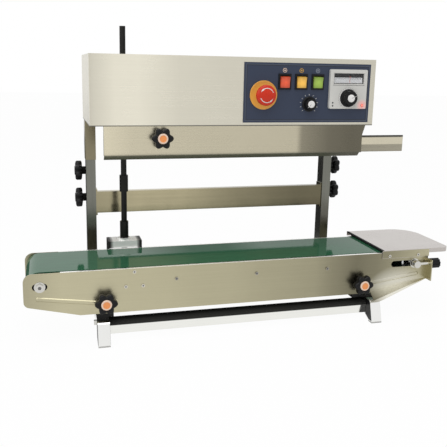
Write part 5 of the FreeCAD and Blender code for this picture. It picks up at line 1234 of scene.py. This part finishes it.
@dataclass
class StarKnob:
    """A lobed hand knob with a coloured insert, standing for its CAD node."""

    node: str
    facing: Facing
    lobes: int = 6
    core: float = 15.6
    lobe: float = 5.4
    hub_radius: float = 8.5
    hub_height: float = 8.0
    head_height: float = 14.0
    cap_height: float = 1.5
    stud_radius: float = 4.0
    roundness: float = 0.72
    ring: Finish = PALE_ORANGE
    insert: Finish = ORANGE_PLASTIC

    def build(self) -> None:
        """Turn the knob with its lobes, rim, ring and insert."""
        low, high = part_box(self.node)
        out = Vector(self.facing.value)
        ends = sorted((out.dot(low), out.dot(high)))
        rise = self.hub_height
        top = rise + self.head_height
        face = top + self.cap_height
        stud = (ends[1] - ends[0]) / MM - face
        middle = middle_of(self.node)
        seat = middle - out * out.dot(middle) + out * (ends[1] - face * MM)
        hub, core, lobe = self.hub_radius, self.core, self.lobe
        rings = band(ZINC, (-stud, self.stud_radius - 0.6), (-stud + 0.6, self.stud_radius))
        rings += band(BLACK_PLASTIC, (0.0, self.stud_radius), (0.0, hub - 0.6), (0.6, hub),
                      (rise - 0.8, hub), (rise, hub + 0.8), (rise, core - 3.0, lobe * 0.75),
                      (rise + 0.9, core - 1.0, lobe * 0.95), (rise + 2.6, core, lobe),
                      (top - 3.6, core, lobe), (top - 1.6, core - 0.7, lobe * 0.96),
                      (top - 0.5, core - 2.0, lobe * 0.86), (top, core - 3.8, lobe * 0.62),
                      (top + 0.1, 11.0), (top - 0.5, 10.4))
        rings += band(self.ring, (top - 0.5, 9.9), (face - 0.5, 9.5), (face - 0.1, 8.9))
        rings += band(self.insert, (face - 0.1, 6.7), (face - 0.4, 6.3), (face - 0.1, 3.6), (face, 1.2))
        maker = PieceMaker(self.node + "_star")
        maker.turned(rings, self.facing.placing(seat), self.lobes, self.roundness, 96)
        maker.piece(self.node, [self.node], 45.0)


@dataclass
class SealingHead:
    """Housing, covers, guard, guide and the sealing train."""

    louvres: int = 14
    louvre_pitch: float = 12.0
    louvre_length: float = 52.0
    louvre_width: float = 7.0
    louvre_rise: float = 3.4
    louvre_shift: float = -4.6
    louvre_sink: float = 0.4

    def dress(self) -> None:
        """Give the head its finishes."""
        dress(HEAD_SHEET, "head_housing", "head_rear_cover", "head_floor")
        dress(SLIDE_SHEET, "head_slides")
        dress(GUARD_SHEET, "guard_cover")
        dress(GUIDE_SHEET, "infeed_guide")
        dress(ZINC, "head_screws")
        dress(ALUMINIUM, "gear_motor", "sealing_blocks")
        dress(BLACK_PLASTIC, "power_inlet")
        dress(NYLON, "shaft_gear", "front_drive_wheel", "rear_drive_wheel", "front_idler_wheel",
              "rear_idler_wheel")
        dress(BAND_CLOTH, "sealing_bands")

    def build(self) -> None:
        """Press the louvre hoods and paint shade in the rear screws' recesses."""
        middle = middle_of("head_rear_cover")
        first = middle.x - (self.louvres - 1) / 2 * self.louvre_pitch * MM
        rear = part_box("head_rear_cover")[1].y - self.louvre_sink * MM
        seat = Vector((first + self.louvre_shift * MM, rear, middle.z))
        hoods = Repeated("rear_louvre_hoods", Motif.HOOD, HEAD_SHEET, self.louvres, self.louvre_length,
                         self.louvre_width, self.louvre_rise, pitch=self.louvre_pitch)
        hang(hoods.make(Matrix.Translation(seat)), "head")
        seats = []
        for corner, other in island_boxes("head_screws"):
            centre = (corner + other) / 2
            seats.append(Vector((centre.x, other.y, centre.z)))
        screw_crosses("cover_screw_recesses", seats, Facing.REAR, "head")


@dataclass
class DialKnob:
    """A fluted dial knob with a pale cap, standing for its CAD node."""

    node: str
    radius: float
    top_radius: float
    height: float
    cap_radius: float
    pointer_angle: float
    cap_height: float = 1.2
    skirt: float = 3.0
    stem_radius: float = 3.0
    stem_length: float = 12.0
    flutes: int = 30
    flute: float = 0.7
    flute_sharpness: float = 0.6

    def build(self) -> None:
        """Turn the skirt, fluted grip and cap, and set the pointer."""
        top = self.height + self.cap_height
        place = on_front(self.node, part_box(self.node)[0].y + top * MM)
        place = place @ Matrix.Rotation(self.pointer_angle, 4, "Z")
        grip, skirt, cap, flute = self.top_radius, self.skirt, self.cap_radius, self.flute
        stem, foot = self.stem_radius, -self.stem_length
        rings = band(BLACK_PLASTIC, (foot, stem - 0.4), (foot + 0.4, stem), (0.0, stem),
                     (0.0, self.radius - 0.5), (0.5, self.radius),
                     (skirt - 1.0, self.radius), (skirt - 0.3, self.radius - 0.6), (skirt, grip + 1.2),
                     (skirt + 0.3, grip + 0.4, flute), (self.height - 1.4, grip - 0.7, flute),
                     (self.height - 0.4, grip - 1.1, flute * 0.8), (self.height, grip - 2.2),
                     (self.height, cap + 0.5), (self.height - 0.4, cap + 0.3))
        rings += band(PALE_PLASTIC, (self.height - 0.4, cap), (top - 0.4, cap - 0.1), (top, cap - 0.7),
                      (top - 0.15, cap * 0.5))
        maker = PieceMaker(self.node + "_dial")
        maker.turned(rings, place, self.flutes, self.flute_sharpness, 120)
        lift = self.height - 0.05
        maker.bar((cap + 1.0, -0.5, lift - 0.3), (grip - 2.4, 0.5, lift + 0.15), place, WHITE_INK, 0.1)
        maker.bar((grip + 1.6, -0.6, skirt - 0.6), (self.radius - 0.8, 0.6, skirt + 0.05), place, WHITE_INK,
                  0.1)
        maker.bar((0.8, -0.35, top - 0.3), (cap - 1.4, 0.35, top + 0.02), place, DARK_INK_AND_SHADE, 0.08)
        maker.piece(self.node, [self.node])


@dataclass
class EmergencyStop:
    """Mushroom button with twist arrows, and its round collar."""

    plate_radius: float = 28.0
    plate: float = 2.5
    ring_radius: float = 15.0
    ring: float = 6.0
    bore: float = 10.3
    head_radius: float = 20.0
    edge: float = 6.0
    dome: float = 6.0
    stem: float = 10.0
    stem_length: float = 20.0
    arrow_radius: float = 13.6
    arrow_width: float = 1.3
    arrows: int = 2
    arrow_sweep: float = 2.3
    arrow_start: float = 0.4
    arrow_steps: int = 14
    arrow_neck: float = 0.72
    face_shares: tuple[float, ...] = (0.95, 0.88, 0.78, 0.66, 0.5, 0.34, 0.18, 0.06)

    def dome_height(self, radius: float) -> float:
        """Height of the mushroom's face at a radius, in millimetres."""
        ball = (self.head_radius ** 2 + self.dome ** 2) / (2 * self.dome)
        return self.edge + self.dome - ball + math.sqrt(ball ** 2 - radius ** 2)

    def build(self) -> None:
        """Turn the collar and the mushroom, and lay the arrows on it."""
        self.build_collar()
        self.build_button()

    def build_collar(self) -> None:
        """The yellow collar with a raised rim."""
        place = on_front("estop_collar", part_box("control_panel")[0].y)
        wide, rim, bore = self.plate_radius, self.ring_radius, self.bore
        rings = band(YELLOW_PLASTIC, (0.0, bore), (0.0, wide - 0.3), (0.5, wide), (self.plate - 0.7, wide),
                     (self.plate - 0.1, wide - 0.5), (self.plate, wide - 1.3), (self.plate - 0.5, wide - 2.4),
                     (self.plate - 0.2, rim + 3.0), (self.plate + 0.4, rim + 0.9), (self.ring - 0.8, rim),
                     (self.ring, rim - 0.8), (self.ring, bore + 0.5), (self.ring - 0.5, bore))
        maker = PieceMaker("estop_collar_turned")
        maker.turned(rings, place, segments=96, hollow=True)
        maker.piece("head", ["estop_collar"])

    def build_button(self) -> None:
        """The red mushroom with its twist arrows."""
        place = on_front("estop_button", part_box("estop_button")[0].y + (self.edge + self.dome) * MM)
        rim, stem, foot = self.head_radius, self.stem, -self.stem_length
        rings = band(RED_PLASTIC, (foot, stem - 0.4), (foot + 0.4, stem), (0.0, stem), (0.0, rim - 1.6),
                     (0.4, rim - 0.6), (1.4, rim), (self.edge - 1.6, rim), (self.edge - 0.3, rim - 0.35))
        radii = [rim * share for share in self.face_shares]
        rings += band(RED_PLASTIC, *((self.dome_height(radius) - 0.12, radius) for radius in radii))
        maker = PieceMaker("estop_mushroom")
        maker.turned(rings, place, segments=96)
        for index in range(self.arrows):
            self.add_arrow(maker, place, 2 * math.pi * index / self.arrows + self.arrow_start)
        maker.piece("estop_button", ["estop_button"])

    def add_arrow(self, maker: PieceMaker, place: Matrix, start: float) -> None:
        """Lay one twist arrow on the dome.

        Args:
            maker: The mushroom's maker.
            place: The mushroom's place.
            start: Angle at which the arrow starts, in radians.
        """
        rows = []
        for index in range(self.arrow_steps + 1):
            share = index / self.arrow_steps
            angle = start + self.arrow_sweep * share
            half = self.arrow_width / 2
            if share > self.arrow_neck:
                half = self.arrow_width * 1.5 * (1 - share) / (1 - self.arrow_neck) + 0.05
            row = []
            for radius, lift in ((self.arrow_radius - half, -0.3), (self.arrow_radius - half, 0.06),
                                 (self.arrow_radius + half, 0.06), (self.arrow_radius + half, -0.3)):
                height = self.dome_height(min(radius, self.head_radius)) + lift
                point = Vector((radius * math.cos(angle), radius * math.sin(angle), height)) * MM
                row.append(maker.mesh.verts.new(place @ point))
            rows.append(row)
        for row, after in zip(rows, rows[1:]):
            maker.wrap(row, after, WHITE_INK)
        maker.face(rows[0], WHITE_INK)
        maker.face(rows[-1][::-1], WHITE_INK)


@dataclass
class ControlPanel:
    """Panel film, prints, switches, dials, temperature controller and stop button."""

    margin: float = 3.2
    line: float = 1.1
    line_gap: float = 1.5
    proud: float = 0.14
    icon_lift: float = 22.5
    icon_radius: float = 4.3
    icon_line: float = 1.0
    icon_dot: float = 1.5
    print_edge: float = 0.05
    speed_ticks: int = 11
    temperature_ticks: int = 25
    tick_start: float = math.radians(-45)
    tick_sweep: float = math.radians(270)
    window: Pair = (65.0, 20.5)
    window_lift: float = 21.0
    knob_drop: float = 17.5
    frame_width: float = 2.2
    frame_height: float = 2.0
    dial_plate: float = 19.2
    screws: tuple[Pair, ...] = ((-33.0, -33.0), (-33.0, -27.0))
    strip: Pair = (61.0, 11.0)
    strip_depth: float = -3.9
    divisions: int = 28
    division_pitch: float = 2.0

    def dress(self) -> None:
        """Give the CAD nodes of the panel their finishes."""
        dress(PANEL_BLUE, "control_panel")
        dress(BLACK_PLASTIC, "switch_bezels")
        dress(CONTROLLER_GREY, "temperature_controller")
        dress(PANE, "controller_window")
        dress(RED_LENS, "power_rocker")
        dress(AMBER_LENS, "heat_rocker")
        dress(GREEN_LENS, "fan_rocker")

    def build(self) -> None:
        """Make the panel's Blender pieces."""
        EmergencyStop().build()
        DialKnob("speed_knob", 15.0, 12.0, 13.0, 7.0, math.radians(225)).build()
        DialKnob("temperature_knob", 18.0, 14.5, 14.0, 7.5, math.radians(20)).build()
        self.build_print()
        self.build_speed_ticks()
        self.build_controller_face()

    def build_print(self) -> None:
        """Border lines and the small signs above the switches."""
        low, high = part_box("control_panel")
        place = Facing.FRONT.placing(Vector((low.x, low.y, low.z)))
        width, height = (high.x - low.x) / MM, (high.z - low.z) / MM
        maker = PieceMaker("panel_print")
        for inset, finish in ((self.margin, BORDER_INK), (self.margin + self.line_gap, DARK_INK_AND_SHADE)):
            far, top = width - inset, height - inset
            sides = (((inset, inset), (far, inset + self.line)), ((inset, top - self.line), (far, top)),
                     ((inset, inset + self.line), (inset + self.line, top - self.line)),
                     ((far - self.line, inset + self.line), (far, top - self.line)))
            for start, end in sides:
                maker.bar((*start, -self.print_edge), (*end, self.proud), place, finish, self.print_edge)
        signs = (("power_rocker", PALE_ORANGE), ("heat_rocker", AMBER_INK), ("fan_rocker", PALE_INK))
        for node, finish in signs:
            spot = (middle_of(node) - low) / MM
            self.add_sign(maker, moved(place, spot.x, spot.z + self.icon_lift), finish)
        maker.piece("head")

    def add_sign(self, maker: PieceMaker, place: Matrix, finish: Finish) -> None:
        """Print a ring with a dot in it.

        Args:
            maker: The print's maker.
            place: The sign's place.
            finish: Its ink.
        """
        edge, outer, inner = self.print_edge, self.icon_radius, self.icon_radius - self.icon_line
        ring = band(finish, (-edge, inner), (-edge, outer), (self.proud, outer - edge),
                    (self.proud, inner + edge))
        maker.turned(ring, place, segments=40, hollow=True)
        dot = band(finish, (-edge, self.icon_dot), (self.proud, self.icon_dot - edge))
        maker.turned(dot, place, segments=24)

    def ticks(self, name: str, finish: Finish, count: int, size: Sequence[float], radius: float) -> Repeated:
        """Plan the ticks round a dial.

        Args:
            name: Name of the piece.
            finish: Its ink.
            count: How many ticks there are.
            size: Length, width and height of a tick, in millimetres.
            radius: Distance from the dial's middle.

        Returns:
            The pattern.
        """
        step = self.tick_sweep / (count - 1)
        return Repeated(name, Motif.BAR, finish, count, *size, radius, 0.0, self.tick_start, step)

    def build_speed_ticks(self) -> None:
        """Tick marks round the speed dial."""
        ticks = self.ticks("speed_ticks", WHITE_INK, self.speed_ticks, (2.6, 0.8, self.proud * 2), 18.2)
        hang(ticks.make(on_front("speed_knob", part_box("control_panel")[0].y)), "head")

    def build_controller_face(self) -> None:
        """The controller's face plate, scale, ticks, lamp and fixing screws."""
        place = on_front("temperature_controller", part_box("temperature_controller")[0].y)
        half_width, half_height = self.window[0] / 2, self.window[1] / 2
        side, cross = half_width + self.frame_width, self.frame_height
        top, bottom = self.window_lift + half_height, self.window_lift - half_height
        maker = PieceMaker("controller_face")
        for start, end in (((-side, top), (side, top + cross)), ((-side, bottom - cross), (side, bottom)),
                           ((-side, bottom), (-half_width, top)), ((half_width, bottom), (side, top))):
            maker.bar((*start, -0.2), (*end, 0.5), place, GREY_PLASTIC, 0.25)
        maker.bar((-side, bottom - 3.4, -0.2), (side, bottom - 2.8, 0.12), place, DARK_INK_AND_SHADE, 0.05)
        dial = moved(place, 0, -self.knob_drop)
        disc = band(PALE_PLASTIC, (-0.1, self.dial_plate), (0.18, self.dial_plate - 0.2))
        maker.turned(disc, dial, segments=72)
        for spot in self.screws:
            maker.turned(band(DARK_INK_AND_SHADE, (-0.1, 1.7), (0.15, 1.6)), moved(place, *spot), segments=24)
        lamp = band(BLACK_PLASTIC, (-0.2, 2.8), (0.6, 2.7))
        lamp += band(LAMP_RED, (0.6, 2.1), (1.3, 1.7), (1.7, 0.9))
        maker.turned(lamp, moved(place, *LampLitMoulding.lamp), segments=32)
        maker.piece("head")
        ticks = self.ticks("temperature_ticks", DARK_INK_AND_SHADE, self.temperature_ticks, (1.7, 0.5, 0.3), 20.2)
        hang(ticks.make(dial), "head")
        self.build_scale(place)

    def build_scale(self, place: Matrix) -> None:
        """The scale strip behind the window, with its divisions and pointer.

        Args:
            place: Middle of the controller's face.
        """
        depth, (width, height) = self.strip_depth, self.strip
        half_width, half_height = self.window[0] / 2 - 0.2, self.window[1] / 2 - 0.2
        low = self.window_lift - self.window[1] / 2 + 1.2
        maker = PieceMaker("scale_strip")
        maker.bar((-half_width, self.window_lift - half_height, depth - 0.05),
                  (half_width, self.window_lift + half_height, depth + 0.1), place, BLACK_PLASTIC, 0.05)
        maker.bar((-width / 2, low, depth), (width / 2, low + height, depth + 0.5), place, SCALE_WHITE, 0.2)
        maker.bar((3.0, low + 1.0, depth + 0.4), (3.7, low + height + 3.0, depth + 0.9), place, RED_INK, 0.1)
        maker.piece("head")
        row = moved(place, -width / 2 + 3.5, low + height - 2.2, depth + 0.5)
        marks = Repeated("scale_divisions", Motif.BAR, DARK_INK_AND_SHADE, self.divisions, 0.45, 2.6, 0.2,
                         pitch=self.division_pitch)
        hang(marks.make(row), "head")


@dataclass
class Studio:
    """White floor, soft light and the camera."""

    lens: float = 51.12
    shift: Pair = (0.0246, -0.0568)
    eye: Triple = (-0.3853, -1.2612, 0.5002)
    yaw: float = math.radians(14.83)
    pitch: float = math.radians(11.416)
    roll: float = math.radians(1.0466)
    floor_half: float = 12.0
    floor_drop: float = 0.0004
    floor_cells: int = 8
    floor_cloud: Layer = Layer(2.0)
    floor_greys: Pair = (0.86, 0.9)
    seen_share: float = 0.97
    mirror_share: float = 0.92
    glass_share: float = 0.9
    shade_grey: float = 0.02
    world_light: float = 0.55
    lamps: tuple[tuple[str, Triple, float, float], ...] = (
        ("soft_box", (-0.4, -0.6, 2.4), 2.2, 26.0), ("fill", (-1.8, -1.8, 1.4), 1.6, 9.0))
    lamp_aim: Triple = (0.0, 0.0, 0.25)
    sensor: float = 36.0
    clip: float = 60.0
    under_x: float = 0.27
    under_front: float = 0.12
    under_rear: float = 0.2
    under_soft: float = 0.03
    # Middle, reach and softness of the painted dark patch in the floor's reflections
    painted_dark_patch: Triple = (-0.8, 1.9, 0.0)
    painted_dark_patch_reach: float = 2.0
    painted_dark_patch_soft: float = 0.4

    def build(self) -> None:
        """Set up the stage."""
        self.build_floor()
        self.build_world()
        self.build_lamps()
        self.build_camera()
        bpy.context.scene.view_settings.view_transform = "Standard"

    def build_floor(self) -> None:
        """A wide pale floor that keeps a soft shadow."""
        maker = bmesh.new()
        cells = self.floor_cells
        bmesh.ops.create_grid(maker, x_segments=cells, y_segments=cells, size=self.floor_half)
        data = bpy.data.meshes.new("studio_floor")
        maker.to_mesh(data)
        maker.free()
        data.transform(Matrix.Translation((0, 0, -self.floor_drop)))
        floor = bpy.data.objects.new("studio_floor", data)
        bpy.context.scene.collection.objects.link(floor)
        data.materials.append(self.floor_material())

    def floor_material(self) -> bpy.types.Material:
        """Make the floor diffuse for light and shadow, and white for the camera and for reflections.

        Returns:
            The floor's material, which mirrors a painted shade under the machine and in a patch behind it.
        """
        surface = Surface("studio_floor")
        low, high = ((grey,) * 3 for grey in self.floor_greys)
        pale = surface.mix(surface.noise(self.floor_cloud), low, high)
        diffuse = surface.add("ShaderNodeBsdfDiffuse", None, {"Color": pale})
        ray = surface.add("ShaderNodeLightPath").outputs
        seen, mirrored, through = (Value(surface, ray[f"Is {kind} Ray"]) for kind in RAYS)
        glow = surface.add("ShaderNodeEmission", None, {"Color": WHITE, "Strength": 1.0})
        dark = surface.add("ShaderNodeEmission", None, {"Color": (self.shade_grey,) * 3, "Strength": 1.0})
        shown = surface.add("ShaderNodeMixShader", None,
                            {0: self.shaded(surface) * mirrored, 1: glow.outputs[0], 2: dark.outputs[0]})
        share = (seen * self.seen_share).most(mirrored * self.mirror_share).most(through * self.glass_share)
        mixed = surface.add("ShaderNodeMixShader", None,
                            {0: share, 1: diffuse.outputs[0], 2: shown.outputs[0]})
        surface.add("ShaderNodeOutputMaterial", None, {"Surface": mixed.outputs[0]})
        return surface.material

    def shaded(self, surface: Surface) -> Value:
        """Painted shade in the floor's reflections: how dark it mirrors under the machine, and in a patch
        behind it.

        Args:
            surface: The floor's tree.

        Returns:
            A value that is 1 where the floor mirrors dark.
        """
        x, y = surface.along(0), surface.along(1)
        across = (self.under_x - x.math("ABSOLUTE", x, 0.0)) / self.under_soft
        ahead = (y + self.under_front) / self.under_soft
        behind = (self.under_rear - y) / self.under_soft
        under = across.least(ahead).least(behind)
        # Painted dark patch behind the machine, seen only in reflections
        patch = (self.painted_dark_patch_reach - surface.distance(Vector(self.painted_dark_patch))) / self.painted_dark_patch_soft
        return under.most(patch).most(0.0).least(1.0)

    def build_world(self) -> None:
        """Even soft light, with white for the camera and for reflections."""
        world = bpy.data.worlds.new("studio")
        bpy.context.scene.world = world
        world.use_nodes = True
        sheet = NodeSheet(world.node_tree)
        ray = sheet.add("ShaderNodeLightPath").outputs
        seen, mirrored, through = (Value(sheet, ray[f"Is {kind} Ray"]) for kind in RAYS)
        white = seen.most(mirrored).most(through)
        soft = sheet.add("ShaderNodeBackground", None, {"Color": WHITE, "Strength": self.world_light})
        bright = sheet.add("ShaderNodeBackground", None, {"Color": WHITE, "Strength": 1.0})
        mixed = sheet.add("ShaderNodeMixShader", None, {0: white, 1: soft.outputs[0], 2: bright.outputs[0]})
        sheet.add("ShaderNodeOutputWorld", None, {"Surface": mixed.outputs[0]})

    def build_lamps(self) -> None:
        """A large soft box overhead and a fill from the front left."""
        for name, place, size, power in self.lamps:
            lamp = bpy.data.lights.new(name, "AREA")
            lamp.shape = "SQUARE"
            lamp.size = size
            lamp.energy = power
            thing = bpy.data.objects.new(name, lamp)
            thing.location = place
            aim = Vector(self.lamp_aim) - Vector(place)
            thing.rotation_euler = aim.to_track_quat("-Z", "Y").to_euler()
            bpy.context.scene.collection.objects.link(thing)

    def build_camera(self) -> None:
        """The camera at the photograph's place."""
        sin_yaw, cos_yaw = math.sin(self.yaw), math.cos(self.yaw)
        sin_pitch, cos_pitch = math.sin(self.pitch), math.cos(self.pitch)
        ahead = Vector((sin_yaw * cos_pitch, cos_yaw * cos_pitch, -sin_pitch))
        right = Vector((cos_yaw, -sin_yaw, 0.0))
        down = ahead.cross(right)
        across = math.cos(self.roll) * right - math.sin(self.roll) * down
        below = math.sin(self.roll) * right + math.cos(self.roll) * down
        data = bpy.data.cameras.new("camera")
        data.lens = self.lens
        data.sensor_width = self.sensor
        data.shift_x, data.shift_y = self.shift
        data.clip_end = self.clip
        camera = bpy.data.objects.new("camera", data)
        turn = Matrix((across, -below, -ahead)).transposed().to_4x4()
        camera.matrix_world = Matrix.Translation(Vector(self.eye)) @ turn
        bpy.context.scene.collection.objects.link(camera)
        bpy.context.scene.camera = camera


def star_knobs() -> list[StarKnob]:
    """List the hand knobs of the machine.

    Returns:
        The knobs, in the order in which they are built.
    """
    fronts = ("left_conveyor_knob", "right_conveyor_knob", "guard_knob")
    knobs = [StarKnob(name, Facing.FRONT) for name in fronts]
    for side, facing in (("left", Facing.LEFT), ("right", Facing.RIGHT)):
        knobs += [StarKnob(f"{side}_{level}_post_knob", facing, ring=BLACK_PLASTIC, insert=BLACK_PLASTIC)
                  for level in ("upper", "lower")]
    return knobs


def main() -> None:
    """Build the machine's looks in order."""
    logging.basicConfig(level=logging.INFO, format="%(name)s %(message)s")
    parts = (BaseFrame(), Conveyor(), SealingHead(), ControlPanel())
    for part in parts:
        part.dress()
    for knob in star_knobs():
        knob.build()
    for part in parts:
        part.build()
    Studio().build()


if __name__ == "__main__":
    main()
